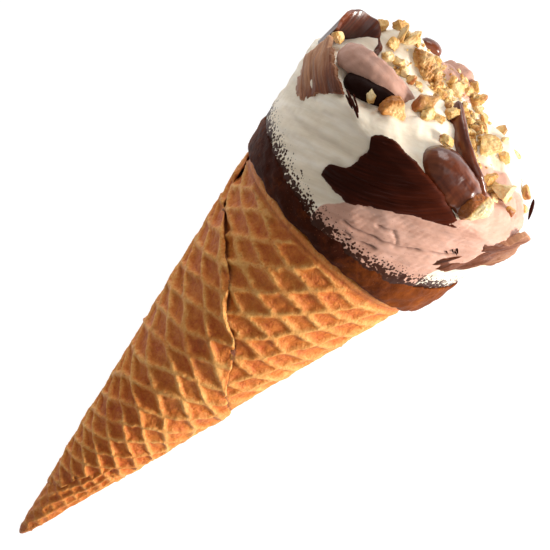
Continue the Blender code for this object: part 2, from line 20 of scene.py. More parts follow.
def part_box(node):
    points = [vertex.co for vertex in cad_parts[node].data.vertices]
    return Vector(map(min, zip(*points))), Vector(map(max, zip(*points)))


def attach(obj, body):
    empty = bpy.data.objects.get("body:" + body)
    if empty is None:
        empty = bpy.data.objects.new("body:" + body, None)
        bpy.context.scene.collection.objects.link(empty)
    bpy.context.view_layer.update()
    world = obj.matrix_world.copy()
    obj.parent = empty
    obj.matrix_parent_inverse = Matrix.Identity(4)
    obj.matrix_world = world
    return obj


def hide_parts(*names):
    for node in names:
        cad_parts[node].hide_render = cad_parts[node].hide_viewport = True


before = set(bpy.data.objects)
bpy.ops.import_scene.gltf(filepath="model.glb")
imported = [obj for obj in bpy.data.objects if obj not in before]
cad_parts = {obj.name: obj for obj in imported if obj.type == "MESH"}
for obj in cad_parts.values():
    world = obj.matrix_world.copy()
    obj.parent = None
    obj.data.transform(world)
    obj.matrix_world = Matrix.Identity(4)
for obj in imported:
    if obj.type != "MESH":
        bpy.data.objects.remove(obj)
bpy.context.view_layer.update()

BODY = "root"
MM = 0.001
NOISE_PATCH = 0.7  # patches of noise to each unit of its scale
LOG = logging.getLogger("ice_cream_cone")

Triple = tuple[float, float, float]
Pairs = tuple[tuple[float, float], ...]
Rows = tuple[tuple[float, ...], ...]
Marks = dict[str, np.ndarray]
Socket = bpy.types.NodeSocket

# Driving sizes in millimetres, as in the solids.
RIM_HEIGHT = 110.0
RIM_RADIUS = 24.5
SLOPE = RIM_RADIUS / RIM_HEIGHT
FLARE = math.atan(SLOPE)
TIP_HEIGHT = 4.0  # where the wafer's blunt tip starts
REST_FLAT = 0.35  # how much of the wafer the ground presses flat
ROLL_STEP = 0.7  # how far the turn under the seam lies below the outer one
EDGE_HEIGHT = 138.5  # where the head's side turns over into its top
SIDE_BULGE = 0.7  # how much wider the head is at its left and right

# Sizes of the visual model alone, in millimetres.
HEAD_RADIUS = 28.0  # turns angles on the head's side into lengths along it
RIM_TOP = 109.3  # where the wafer's outside ends and its rounded rim starts
BAND_BASE = 109.7  # the coating's lower edge
BAND_TOP = 114.0  # its upper edge in front
SCROLL_REACH = 6.0  # turns angles on the scroll into lengths along it


# ---------------------------------------------------------------- shapes in numpy


def wrapped(angle: np.ndarray) -> np.ndarray:
    """Degrees brought into -180 to 180."""
    return (np.asarray(angle) + 180.0) % 360.0 - 180.0


def eased(low: float, high: float, at: np.ndarray) -> np.ndarray:
    """0 below low, 1 above high, and a smooth S between them."""
    share = np.clip((np.asarray(at, float) - low) / (high - low), 0.0, 1.0)
    return share * share * (3.0 - 2.0 * share)


def along_table(table: Pairs, at: np.ndarray) -> np.ndarray:
    """A smooth curve through (place, value) pairs.

    Between two places the value follows a cubic whose slopes are those of the neighbours'
    chord, limited so that it doesn't overshoot.

    Args:
        table: (place, value) pairs, places rising.
        at: where to read the curve.

    Returns:
        The values, in the shape of at.
    """
    places, values = (np.array(column, float) for column in zip(*table))
    chords = np.diff(values) / np.diff(places)
    slopes = np.concatenate([chords[:1], (chords[1:] + chords[:-1]) / 2, chords[-1:]])
    flat = np.concatenate([[False], chords[1:] * chords[:-1] <= 0, [False]])
    slopes = np.where(flat, 0.0, slopes)
    at = np.clip(np.asarray(at, float), places[0], places[-1])
    index = np.clip(np.searchsorted(places, at) - 1, 0, len(places) - 2)
    span = places[index + 1] - places[index]
    t = (at - places[index]) / span
    start, end = values[index], values[index + 1]
    out, into = slopes[index] * span, slopes[index + 1] * span
    return (
        (2 * t**3 - 3 * t**2 + 1) * start
        + (t**3 - 2 * t**2 + t) * out
        + (3 * t**2 - 2 * t**3) * end
        + (t**3 - t**2) * into
    )


def ripple(points: np.ndarray, length: float, seed: int, waves: int = 10) -> np.ndarray:
    """Smooth random height, about -1 to 1.

    It is the sum of sine waves of the given length that run in random directions.

    Args:
        points: places in millimetres, the last axis holding the coordinates.
        length: the waves' length in millimetres.
        seed: picks the directions and phases.
        waves: how many are added.

    Returns:
        One height for each place.
    """
    chance = np.random.default_rng(seed)
    count = points.shape[-1]
    directions = chance.normal(size=(waves, count))
    directions /= np.linalg.norm(directions, axis=1, keepdims=True)
    lengths = length * chance.uniform(0.7, 1.4, waves)
    phases = chance.uniform(0, 2 * math.pi, waves)
    turns = points @ (directions.T * (2 * math.pi / lengths)) + phases
    return np.sin(turns).sum(-1) / math.sqrt(waves) * 0.8


def ripples(points: np.ndarray, *waves: tuple[float, float, int]) -> np.ndarray:
    """The sum of several ripples, each given as (height, length, seed)."""
    return sum(height * ripple(points, length, seed) for height, length, seed in waves)


def outline_distance(points: np.ndarray, outline: np.ndarray) -> np.ndarray:
    """How far each place is inside a closed outline, negative outside.

    It is the shortest distance to any of the outline's sides, with its sign from the number
    of sides that a ray to the right crosses.

    Args:
        points: (..., 2) places.
        outline: (n, 2) corners in order.

    Returns:
        Distances in the shape of the points.
    """
    flat = points.reshape(-1, 1, 2)
    start, end = outline[None], np.roll(outline, -1, 0)[None]
    side = end - start
    t = np.clip(((flat - start) * side).sum(-1) / (side**2).sum(-1), 0, 1)
    away = np.linalg.norm(flat - start - t[..., None] * side, axis=-1).min(1)
    rises = (start[..., 1] > flat[..., 1]) != (end[..., 1] > flat[..., 1])
    height = np.where(np.abs(side[..., 1]) < 1e-9, 1e-9, side[..., 1])
    crossing = start[..., 0] + (flat[..., 1] - start[..., 1]) * side[..., 0] / height
    inside = (rises & (flat[..., 0] < crossing)).sum(1) % 2 == 1
    return np.where(inside, away, -away).reshape(points.shape[:-1])


def grid_normals(points: np.ndarray) -> np.ndarray:
    """Unit normals of a grid of places: the cross product of its two directions."""
    across = np.gradient(points, axis=1)
    down = np.gradient(points, axis=0)
    normals = np.cross(across, down)
    return normals / np.maximum(np.linalg.norm(normals, axis=-1, keepdims=True), 1e-12)


@dataclass(frozen=True)
class ConeFrame:
    """Where the cone's own frame lies in the world.

    Attributes:
        apex: world place, in metres, of the point where the wafer's sides would meet.
    """

    apex: Triple

    @classmethod
    def from_cad(cls) -> "ConeFrame":
        """Reads the apex off the wafer's box: its lowest x is the tip's end."""
        low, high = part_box("waffle_cone")
        across = (low.y + high.y) / 2
        return cls((low.x - TIP_HEIGHT * MM * math.cos(FLARE), across, -REST_FLAT * MM))

    def axes(self) -> np.ndarray:
        """World directions of x, y and w, as the rows of a matrix."""
        sine, cosine = math.sin(FLARE), math.cos(FLARE)
        return np.array([[0, -1, 0], [sine, 0, -cosine], [cosine, 0, sine]], float)

    def world(self, points: np.ndarray) -> np.ndarray:
        """World places in metres; what would be under the ground is pressed flat on it."""
        placed = np.asarray(points, float) @ self.axes() * MM + np.array(self.apex)
        placed[..., 2] = np.maximum(placed[..., 2], 0.0)
        return placed

    def local(self, place: np.ndarray) -> np.ndarray:
        """The cone's own coordinates, in millimetres, of a world place."""
        return (place - np.array(self.apex)) @ self.axes().T / MM

    def direction(self, way: Triple) -> np.ndarray:
        """World direction of one in the cone's frame."""
        return np.array(way, float) @ self.axes()


# ---------------------------------------------------------------- meshes


@dataclass
class MeshMaker:
    """Turns grids of places into objects that ride on the cone.

    Attributes:
        cone: the frame that the places are in.
    """

    cone: ConeFrame

    def build(
        self,
        name: str,
        points: np.ndarray,
        faces: list[list[int]],
        marks: Marks | None = None,
        sharp: float | None = None,
    ) -> bpy.types.Object:
        """An object from places and faces, facing outwards.

        Args:
            name: the piece's name.
            points: (n, 3) places in the cone's frame.
            faces: corner numbers of each face.
            marks: named values for each point, which materials read.
            sharp: angle in degrees over which an edge stays sharp.

        Returns:
            The object, with its place in its mesh.
        """
        mesh = bpy.data.meshes.new(name)
        mesh.from_pydata(self.cone.world(points), [], faces)
        for mark, values in (marks or {}).items():
            layer = mesh.attributes.new(mark, "FLOAT", "POINT")
            layer.data.foreach_set("value", np.asarray(values, np.float32).reshape(-1))
        mesh.shade_smooth()
        if sharp is not None:
            mesh.set_sharp_from_angle(angle=math.radians(sharp))
        made = bpy.data.objects.new(name, mesh)
        bpy.context.scene.collection.objects.link(made)
        return made

    def closed_tube(
        self,
        name: str,
        rings: np.ndarray,
        marks: Marks | None = None,
        sharp: float | None = None,
    ) -> bpy.types.Object:
        """A closed surface from rings of places, each end closed by a fan to its middle.

        Args:
            name: the piece's name.
            rings: (rings, places, 3), counter-clockwise seen from the last ring.
            marks: named (rings, places) values.
            sharp: angle in degrees over which an edge stays sharp.

        Returns:
            The object.
        """
        points, faces = tube_faces(rings)
        spread = {
            mark: np.concatenate([v.reshape(-1), [v[0].mean(), v[-1].mean()]])
            for mark, v in (marks or {}).items()
        }
        return self.build(name, points, faces, spread, sharp)

    def shell(
        self,
        name: str,
        outer: np.ndarray,
        inner: np.ndarray,
        marks: Marks | None = None,
        sharp: float | None = None,
    ) -> bpy.types.Object:
        """A closed sheet between an outer grid and an inner one of the same size.

        Args:
            name: the piece's name.
            outer: (rows, columns, 3) places of the side that shows.
            inner: the same for the hidden side.
            marks: named (rows, columns) values, the same on both sides.
            sharp: angle in degrees over which an edge stays sharp.

        Returns:
            The object.
        """
        points, faces = shell_faces(outer, inner)
        spread = {m: np.tile(v.reshape(-1), 2) for m, v in (marks or {}).items()}
        return self.build(name, points, faces, spread, sharp)


def grid_quads(rows: int, columns: int, wrap: bool = False) -> np.ndarray:
    """Corner numbers of a grid's faces, row by row; wrap joins the last column to the first."""
    number = np.arange(rows * columns).reshape(rows, columns)
    right = np.roll(number, -1, 1)
    if not wrap:
        number, right = number[:, :-1], right[:, :-1]
    corners = [number[:-1], right[:-1], right[1:], number[1:]]
    return np.stack(corners, -1).reshape(-1, 4)


def tube_faces(rings: np.ndarray) -> tuple[np.ndarray, list[list[int]]]:
    """Places and faces of rings closed at both ends by a fan to the ring's middle."""
    count, around = rings.shape[:2]
    points = np.concatenate([rings.reshape(-1, 3), [rings[0].mean(0)], [rings[-1].mean(0)]])
    first, last = count * around, count * around + 1
    here = np.arange(around)
    after = np.roll(here, -1)
    base = (count - 1) * around
    low = np.stack([after, here, np.full(around, first)], 1)
    high = np.stack([base + here, base + after, np.full(around, last)], 1)
    quads = grid_quads(count, around, wrap=True)
    return points, quads.tolist() + low.tolist() + high.tolist()


def shell_faces(outer: np.ndarray, inner: np.ndarray) -> tuple[np.ndarray, list[list[int]]]:
    """Places and faces of a closed sheet between two grids of the same size."""
    rows, columns = outer.shape[:2]
    points = np.concatenate([outer.reshape(-1, 3), inner.reshape(-1, 3)])
    quads = grid_quads(rows, columns)
    number = np.arange(rows * columns).reshape(rows, columns)
    loop = np.concatenate(
        [number[0, :-1], number[:-1, -1], number[-1, :0:-1], number[:0:-1, 0]]
    )
    ahead = np.roll(loop, -1)
    shift = rows * columns
    rim = np.stack([ahead, loop, loop + shift, ahead + shift], 1)
    return points, quads.tolist() + (quads[:, ::-1] + shift).tolist() + rim.tolist()


def surface_of(rings: np.ndarray) -> np.ndarray:
    """Unit normals of wrapped rings, from their two directions."""
    padded = np.concatenate([rings[:, -1:], rings, rings[:, :1]], 1)
    return grid_normals(padded)[:, 1:-1]


def place_on_side(angle: np.ndarray, radius: np.ndarray, height: np.ndarray) -> np.ndarray:
    """Places at an angle round the axis, in degrees, a radius and a height."""
    turn = np.radians(angle)
    return np.stack(
        np.broadcast_arrays(radius * np.sin(turn), -radius * np.cos(turn), height), -1
    )


def band_edge(angle: np.ndarray) -> np.ndarray:
    """Height that the coating reaches: it rises with sine squared, more at the right."""
    sine = np.sin(np.radians(angle))
    return BAND_TOP + (4.2 + 1.2 * sine) * sine**2


def line_distance(points: np.ndarray, line: Pairs) -> np.ndarray:
    """Shortest distance from each 2-D place to an open line through the given points."""
    corners = np.array(line, float)
    flat = points.reshape(-1, 1, 2)
    start, side = corners[None, :-1], np.diff(corners, axis=0)[None]
    t = np.clip(((flat - start) * side).sum(-1) / (side**2).sum(-1), 0, 1)
    away = np.linalg.norm(flat - start - t[..., None] * side, axis=-1)
    return away.min(1).reshape(points.shape[:-1])


def resampled(corners: np.ndarray, count: int, closed: bool) -> np.ndarray:
    """A smooth line through corners (Catmull-Rom) with evenly spaced places.

    Args:
        corners: (n, k) places that the line passes through.
        count: how many places come back.
        closed: whether the last corner joins the first.

    Returns:
        (count, k) places.
    """
    if closed:
        around = np.concatenate([corners[-1:], corners, corners[:2]])
    else:
        first, last = 2 * corners[0] - corners[1], 2 * corners[-1] - corners[-2]
        around = np.concatenate([[first], corners, [last]])
    t = np.linspace(0, 1, 16, endpoint=False)[:, None, None]
    p0, p1, p2, p3 = around[:-3], around[1:-2], around[2:-1], around[3:]
    curve = 0.5 * (
        2 * p1
        + (p2 - p0) * t
        + (2 * p0 - 5 * p1 + 4 * p2 - p3) * t**2
        + (3 * p1 - p0 - 3 * p2 + p3) * t**3
    )
    dense = np.concatenate([curve.transpose(1, 0, 2).reshape(-1, corners.shape[1]), p2[-1:]])
    steps = np.linalg.norm(np.diff(dense, axis=0), axis=1)
    length = np.concatenate([[0], np.cumsum(steps)])
    at = np.linspace(0, length[-1], count, endpoint=not closed)
    return np.stack([np.interp(at, length, column) for column in dense.T], 1)


def evened(corners: np.ndarray, count: int) -> np.ndarray:
    """Evenly spaced places on a closed line with slightly rounded corners.

    The corners are joined by straight lines, then each place is averaged with its neighbours.
    """
    closed = np.concatenate([corners, corners[:1]])
    length = np.concatenate([[0], np.cumsum(np.linalg.norm(np.diff(closed, axis=0), axis=1))])
    at = np.linspace(0, length[-1], count, endpoint=False)
    line = np.stack([np.interp(at, length, column) for column in closed.T], 1)
    for _ in range(6):
        line = (np.roll(line, 1, 0) + line * 2 + np.roll(line, -1, 0)) / 4
    return line


# ---------------------------------------------------------------- finishes


def colour_of(code: str) -> tuple[float, float, float, float]:
    """A linear colour from an sRGB code such as #C08040."""
    parts = [int(code[at : at + 2], 16) / 255 for at in (1, 3, 5)]
    linear = [p / 12.92 if p <= 0.04045 else ((p + 0.055) / 1.055) ** 2.4 for p in parts]
    return (*linear, 1.0)


class Recipe:
    """The nodes of one material, added one by one."""

    def __init__(self, name: str) -> None:
        """Starts an empty material with its shader and output."""
        self.material = bpy.data.materials.new(name)
        self.material.use_nodes = True
        self.tree = self.material.node_tree
        self.shader = self.tree.nodes["Principled BSDF"]
        self.place = self.add("ShaderNodeTexCoord").outputs["Object"]

    def add(self, kind: str, links: dict | None = None, **settings: object) -> bpy.types.Node:
        """Adds a node.

        Args:
            kind: Blender's name for the node type.
            links: for an input's name or number, the socket or value it takes.
            settings: the node's own settings.

        Returns:
            The node.
        """
        node = self.tree.nodes.new(kind)
        for key, value in settings.items():
            setattr(node, key, value)
        for key, value in (links or {}).items():
            self.give(node.inputs[key], value)
        return node

    def give(self, taker: Socket, value: object) -> None:
        """Links a socket to the one that feeds it, or sets its value."""
        if isinstance(value, Socket):
            self.tree.links.new(value, taker)
        else:
            taker.default_value = value

    def set(self, **values: object) -> None:
        """Gives the shader's sockets, spaces written as underscores, a value or a link."""
        for key, value in values.items():
            self.give(self.shader.inputs[key.replace("_", " ")], value)

    def mark(self, name: str) -> Socket:
        """The values that a mesh stores under a name."""
        return self.add("ShaderNodeAttribute", attribute_name=name).outputs["Fac"]

    def noise(self, length: float, detail: float = 2.0, rough: float = 0.5) -> Socket:
        """Cloudy noise whose patches are about length millimetres across."""
        links = {"Vector": self.place, "Scale": NOISE_PATCH / (length * MM)}
        links |= {"Detail": detail, "Roughness": rough}
        return self.add("ShaderNodeTexNoise", links).outputs["Fac"]

    def cells(self, length: float) -> Socket:
        """Distance to the nearest of scattered points about length millimetres apart."""
        links = {"Vector": self.place, "Scale": 1.0 / (length * MM)}
        return self.add("ShaderNodeTexVoronoi", links).outputs["Distance"]

    def sum(self, *terms: tuple[Socket, float], start: float = 0.0) -> Socket:
        """The sum of sockets, each times its own factor, and a start value."""
        total: object = start
        for socket, factor in terms:
            links = {0: socket, 1: factor, 2: total}
            total = self.add("ShaderNodeMath", links, operation="MULTIPLY_ADD").outputs[0]
        return total

    def product(self, first: Socket, second: object) -> Socket:
        """Two values multiplied."""
        return self.add("ShaderNodeMath", {0: first, 1: second}, operation="MULTIPLY").outputs[0]

    def step(self, value: Socket, low: float, high: float) -> Socket:
        """0 below low, 1 above high, smooth between; low above high turns it round."""
        links = {"Value": value, "From Min": low, "From Max": high}
        node = self.add("ShaderNodeMapRange", links, interpolation_type="SMOOTHSTEP")
        return node.outputs["Result"]

    def ramp(self, value: Socket, *stops: tuple[float, str]) -> Socket:
        """A colour that follows a value through (place, colour code) stops."""
        node = self.add("ShaderNodeValToRGB", {"Fac": value})
        elements = node.color_ramp.elements
        while len(elements) < len(stops):
            elements.new(1.0)
        for element, (at, code) in zip(elements, stops):
            element.position, element.color = at, colour_of(code)
        return node.outputs["Color"]

    def mix(self, share: object, first: object, second: object) -> Socket:
        """The first colour where share is 0 and the second where it is 1.

        The mixing node numbers its colour sockets 6 and 7 going in and 2 coming out.
        """
        one, two = (colour_of(c) if isinstance(c, str) else c for c in (first, second))
        links = {0: share, 6: one, 7: two}
        return self.add("ShaderNodeMix", links, data_type="RGBA").outputs[2]

    def streaks(self, across: float, along: float) -> Socket:
        """Noise drawn out along a piece, by its stored along and across distances."""
        links = {0: self.product(self.mark("across"), 1.0 / across)}
        links[1] = self.product(self.mark("along"), 1.0 / along)
        place = self.add("ShaderNodeCombineXYZ", links).outputs[0]
        links = {"Vector": place, "Scale": NOISE_PATCH, "Detail": 4.0, "Roughness": 0.6}
        return self.add("ShaderNodeTexNoise", links).outputs["Fac"]

    def bump(self, height: Socket, depth: float) -> None:
        """Raises the surface by up to depth millimetres where height is 1."""
        links = {"Height": height, "Distance": depth * MM}
        self.set(Normal=self.add("ShaderNodeBump", links).outputs["Normal"])


class Slot(Enum):
    """The material slots that the record lists."""

    WAFER = "baked_wafer"
    COATING = "chocolate_coating"
    VANILLA = "vanilla_ice_cream"
    CHOCOLATE_ICE = "chocolate_ice_cream"
    MILK = "milk_chocolate"
    DARK = "dark_chocolate"
    PEANUT = "roasted_peanut"


@dataclass(frozen=True)
class BakedWafer:
    """Sugar wafer pressed between hot patterned plates.

    The stored relief makes it darker in the pockets and lighter on the ribs, and also carries a
    painted highlight along the outer turn's free edge. The batter's sugar gives a dry, sandy
    grain with pores that catches the light in fine points.

    Attributes:
        pocket: colour between the ribs.
        flank: colour of the ribs' sides.
        rib: colour on top of the ribs.
        sugar: colour of the lightest points.
        toast_and_shade: colour of the browned edges and tip, and of painted shade along the seam's
            line, in the lip's groove and in the gap under the outer turn.
    """

    pocket: str = "#B24812"
    flank: str = "#D27C2C"
    rib: str = "#ECB868"
    sugar: str = "#FFE2A8"
    toast_and_shade: str = "#5A260C"

    def make(self) -> bpy.types.Material:
        """Builds the material from the stored relief and toast_and_shade marks."""
        r = Recipe("baked_sugar_wafer_pressed")
        cloud = r.noise(8.0, 3.0)
        grain = r.noise(0.35, 3.0, rough=0.7)
        sand = r.noise(1.1, 3.0, rough=0.65)
        relief = r.mark("relief")
        level = r.sum((relief, 0.30), (cloud, 0.46), (grain, 0.50), (sand, 0.58), start=-0.48)
        stops = ((0.05, self.pocket), (0.42, self.flank), (0.78, self.rib), (1.0, self.sugar))
        baked = r.ramp(level, *stops)
        spots = r.step(r.noise(2.4, 2.0), 0.60, 0.78)
        toasted = r.mix(r.product(spots, 0.35), baked, "#8A4A1E")
        pores = r.step(r.cells(0.9), 0.16, 0.05)
        pitted = r.mix(r.product(pores, 0.35), toasted, "#7A3E18")
        # toast_and_shade darkens towards the burnt colour: real browning, plus painted shade along
        # the seam, in the lip's groove and in the gap under the outer turn.
        r.set(Base_Color=r.mix(r.mark("toast_and_shade"), pitted, self.toast_and_shade))
        r.set(Roughness=0.55, Specular_IOR_Level=0.45)
        r.bump(r.sum((grain, 0.7), (sand, 1.0), (pores, -0.5)), 0.42)
        return r.material


@dataclass(frozen=True)
class SoftIce:
    """Two flavours of ice cream drawn side by side from one nozzle, smooth and just moist.

    Light goes a little way in, which keeps the folds soft. The stored pink value says where
    the chocolate flavour is, shade where it lies in a fold, syrup where caramel is smeared,
    and spray how thickly the coating's drops lie on it.
    """

    def make(self) -> bpy.types.Material:
        """Builds the material from the stored pink, shade, syrup and spray."""
        r = Recipe("whipped_ice_cream_drawn")
        cloud = r.noise(5.0, 3.0)
        fine = r.noise(0.5, 3.0, rough=0.6)
        drawn = r.streaks(1.6, 14.0)
        vanilla = r.ramp(drawn, (0.25, "#DACCB6"), (0.5, "#E9DDC9"), (0.75, "#F3EBDE"))
        mixed = r.sum((drawn, 0.6), (cloud, 0.4))
        cocoa = r.ramp(mixed, (0.3, "#B08472"), (0.5, "#CCA08E"), (0.7, "#DCB4A4"))
        specks = r.step(r.cells(0.85), 0.13, 0.06)
        cocoa = r.mix(r.product(specks, 0.55), cocoa, "#6B4336")
        edge = r.sum((r.mark("pink"), 1.0), (r.noise(1.3, 3.0), 0.5), (fine, 0.2), start=-0.35)
        both = r.mix(r.step(edge, 0.36, 0.62), vanilla, cocoa)
        shaded = r.mix(r.mark("shade"), both, "#86665A")
        shaded = r.mix(r.mark("syrup"), shaded, "#A87448")
        spots = r.noise(0.8, 3.0, rough=0.7)
        cover = r.sum((r.mark("spray"), 1.0), (r.cells(0.62), -0.75), (spots, 0.9), start=-0.42)
        sprayed = r.mix(r.step(cover, 0.10, 0.22), shaded, "#3A1A0C")
        r.set(Base_Color=sprayed, Roughness=0.5, Specular_IOR_Level=0.2)
        r.set(Subsurface_Weight=0.22, Subsurface_Radius=(1.0, 0.75, 0.55))
        r.set(Subsurface_Scale=1.6 * MM)
        r.bump(r.sum((fine, 0.4), (drawn, 0.4), (cloud, 0.4)), 0.12)
        return r.material


@dataclass(frozen=True)
class ShavedChocolate:
    """Chocolate planed off a block, or spread and scraped.

    The blade leaves fine lines along the cut, which the eye reads as grain, over a surface
    between dull and glossy.

    Attributes:
        name: the material's name.
        dark: its darkest colour.
        middle: its usual colour.
        light: its lightest colour.
        roughness: how dull it is.
        line: distance between the finest lines, in millimetres.
        depth: how deep the lines are, in millimetres.
        coat: how much gloss lies over it.
        shine: strength of its own reflection.
    """

    name: str
    dark: str
    middle: str
    light: str
    roughness: float
    line: float = 0.35
    depth: float = 0.12
    coat: float = 0.0
    shine: float = 0.25

    def make(self) -> bpy.types.Material:
        """Builds the material; the lines follow the stored along and across distances."""
        r = Recipe(self.name)
        lines = r.streaks(self.line, 9.0)
        broad = r.streaks(self.line * 5, 20.0)
        cloud = r.noise(6.0, 2.0)
        level = r.sum((lines, 0.45), (broad, 0.35), (cloud, 0.2), (r.mark("tone"), 0.5))
        colour = r.ramp(level, (0.30, self.dark), (0.55, self.middle), (0.95, self.light))
        r.set(Base_Color=colour, Specular_IOR_Level=self.shine, Coat_Weight=self.coat)
        r.set(Coat_Roughness=0.24)
        rough = r.sum((lines, 0.25), (cloud, 0.15), start=self.roughness - 0.2)
        r.set(Roughness=rough)
        r.bump(r.sum((lines, 0.7), (broad, 0.6), (r.noise(0.6, 2.0), 0.2)), self.depth)
        return r.material


@dataclass(frozen=True)
class SprayedCoating:
    """Chocolate sprayed inside the wafer, set where it meets the ice cream.

    It is dull with fine bubbles. Its stored tone lightens it to a reddish brown, which the ring
    uses as painted light on the sides that the lamps reach.
    """

    def make(self) -> bpy.types.Material:
        """Builds the material; tone lightens it, as painted light where light falls on the ring.
        """
        r = Recipe("chocolate_coating_sprayed")
        grain = r.noise(0.8, 4.0, rough=0.65)
        cloud = r.noise(4.0, 3.0)
        level = r.sum((grain, 0.35), (cloud, 0.4), (r.mark("tone"), 0.6))
        stops = ((0.2, "#1C0903"), (0.5, "#391406"), (0.8, "#74380C"), (1.0, "#A85E1C"))
        colour = r.ramp(level, *stops)
        bubbles = r.step(r.cells(0.7), 0.2, 0.1)
        r.set(Base_Color=r.mix(r.product(bubbles, 0.4), colour, "#7A4526"))
        r.set(Roughness=0.58, Specular_IOR_Level=0.07)
        r.bump(r.sum((grain, 0.8), (bubbles, -0.4)), 0.25)
        return r.material


@dataclass(frozen=True)
class RoastedPeanut:
    """Peanuts roasted, then chopped.

    Broken faces are pale and a little oily, the outside keeps a toasted orange-brown, and
    each piece has browned by its own amount.

    Attributes:
        name: the material's name.
        pale: colour of the freshest breaks.
        middle: its usual colour.
        brown: colour of the outer skin.
    """

    name: str = "roasted_peanut_chopped"
    pale: str = "#ECD4A2"
    middle: str = "#D6AA62"
    brown: str = "#96521A"

    def make(self) -> bpy.types.Material:
        """Builds the material from the stored skin and tone."""
        r = Recipe(self.name)
        grain = r.noise(0.5, 3.0, rough=0.6)
        cloud = r.noise(1.8, 3.0)
        skin, tone = r.mark("skin"), r.mark("tone")
        level = r.sum((skin, 0.6), (cloud, 0.7), (grain, 0.25), (tone, 0.6), start=-0.42)
        colour = r.ramp(level, (0.05, self.pale), (0.45, self.middle), (0.95, self.brown))
        r.set(Base_Color=colour, Roughness=0.4, Specular_IOR_Level=0.5)
        r.set(Subsurface_Weight=0.12, Subsurface_Radius=(1.0, 0.6, 0.3))
        r.set(Subsurface_Scale=0.8 * MM)
        r.bump(r.sum((grain, 0.9), (cloud, 0.5)), 0.34)
        return r.material


@dataclass(frozen=True)
class PaperFloor:
    """Pale matt sheet, lit a little from behind as on a light table.

    It is so faintly uneven that it shows only in soft shade.
    """

    shade: str = "#8E9196"
    glow: float = 0.92

    def make(self) -> bpy.types.Material:
        """Builds the material."""
        r = Recipe("pale_paper_matt")
        colour = r.mix(r.noise(30.0, 2.0), self.shade, "#8A8D92")
        r.set(Base_Color=colour, Roughness=0.9, Specular_IOR_Level=0.1)
        r.set(Emission_Color=colour_of("#FFFFFF"), Emission_Strength=self.glow)
        return r.material


@dataclass(frozen=True)
class Finishes:
    """Every finish, made once."""

    wafer: bpy.types.Material
    ice: bpy.types.Material
    dark: bpy.types.Material
    glossy: bpy.types.Material
    milk: bpy.types.Material
    coating: bpy.types.Material
    peanut: bpy.types.Material
    caramel: bpy.types.Material
    crumbs: bpy.types.Material

    @classmethod
    def mixed(cls) -> "Finishes":
        """Makes them all."""
        dark = ShavedChocolate(
            "dark_chocolate_scraped", "#1C0803", "#361005", "#5C240F", 0.52, 0.30, 0.08, shine=0.07
        )
        glossy = ShavedChocolate(
            "dark_chocolate_poured", "#1A0803", "#4C1D0D", "#A0562E", 0.34, 0.5, 0.08, 0.75, 0.22
        )
        milk = ShavedChocolate(
            "milk_chocolate_planed", "#240B04", "#744028", "#D2A07A", 0.50, 0.45, 0.5
        )
        caramel = RoastedPeanut("peanut_in_caramel", "#E6BE82", "#C47C30", "#7A3C0C")
        crumbs = RoastedPeanut("peanut_crumbs_toasted", "#D8B47A", "#AC7434", "#5C320C")
        wafer, ice, coating, peanut = BakedWafer(), SoftIce(), SprayedCoating(), RoastedPeanut()
        kinds = (wafer, ice, dark, glossy, milk, coating, peanut, caramel, crumbs)
        return cls(*(kind.make() for kind in kinds))


def finished(
    piece: bpy.types.Object, material: bpy.types.Material, slot: Slot, *nodes: str
) -> None:
    """Dresses a piece, makes it ride on the cone and lets it stand for its solids.

    Args:
        piece: the finished mesh.
        material: its finish.
        slot: the record's slot that the finish belongs to; not used.
        nodes: the solids that it stands for; none where it is extra detail.
    """
    piece.data.materials.append(material)
    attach(piece, BODY)
    if nodes:
        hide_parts(*nodes)
    LOG.info("%s: %d faces, %s", piece.name, len(piece.data.polygons), material.name)


# ---------------------------------------------------------------- shared ways of building


def closed_ring_faces(rows: int, columns: int) -> list[list[int]]:
    """Faces of a grid whose rows and columns both join up, as on a tyre."""
    number = np.arange(rows * columns).reshape(rows, columns)
    right, up = np.roll(number, -1, 1), np.roll(number, -1, 0)
    return np.stack([number, right, np.roll(up, -1, 1), up], -1).reshape(-1, 4).tolist()


def carried(path: np.ndarray, local: np.ndarray, upward: np.ndarray) -> np.ndarray:
    """A profile carried along a path.

    At each place the profile's first axis is the upward direction squared to the path, and
    its second axis is the path's own direction crossed with the first.

    Args:
        path: (n, 3) places.
        local: (n, m, 2) profile places, counter-clockwise.
        upward: the direction that the first axis leans to.

    Returns:
        (n, m, 3) places.
    """
    along = np.gradient(path, axis=0)
    along /= np.linalg.norm(along, axis=1, keepdims=True)
    first = upward - (along @ upward)[:, None] * along
    first /= np.linalg.norm(first, axis=1, keepdims=True)
    second = np.cross(along, first)
    return path[:, None] + local[..., :1] * first[:, None] + local[..., 1:] * second[:, None]


def turn_matrix(degrees: Triple) -> np.ndarray:
    """Rows of axes turned about x, then y, then w."""
    a, b, c = np.radians(degrees)
    about_x = np.array([[1, 0, 0], [0, np.cos(a), np.sin(a)], [0, -np.sin(a), np.cos(a)]])
    about_y = np.array([[np.cos(b), 0, -np.sin(b)], [0, 1, 0], [np.sin(b), 0, np.cos(b)]])
    about_w = np.array([[np.cos(c), np.sin(c), 0], [-np.sin(c), np.cos(c), 0], [0, 0, 1]])
    return about_x @ about_y @ about_w


def sphere_ways(rows: int, columns: int) -> np.ndarray:
    """(rows, columns, 3) directions from near the bottom pole to near the top one."""
    tilt = (np.arange(rows) + 0.5) / rows * math.pi - math.pi / 2
    turn = np.arange(columns) / columns * 2 * math.pi
    level = np.cos(tilt)[:, None]
    ways = [level * np.cos(turn), level * np.sin(turn), np.sin(tilt)[:, None] + 0 * turn]
    return np.stack(ways, -1)


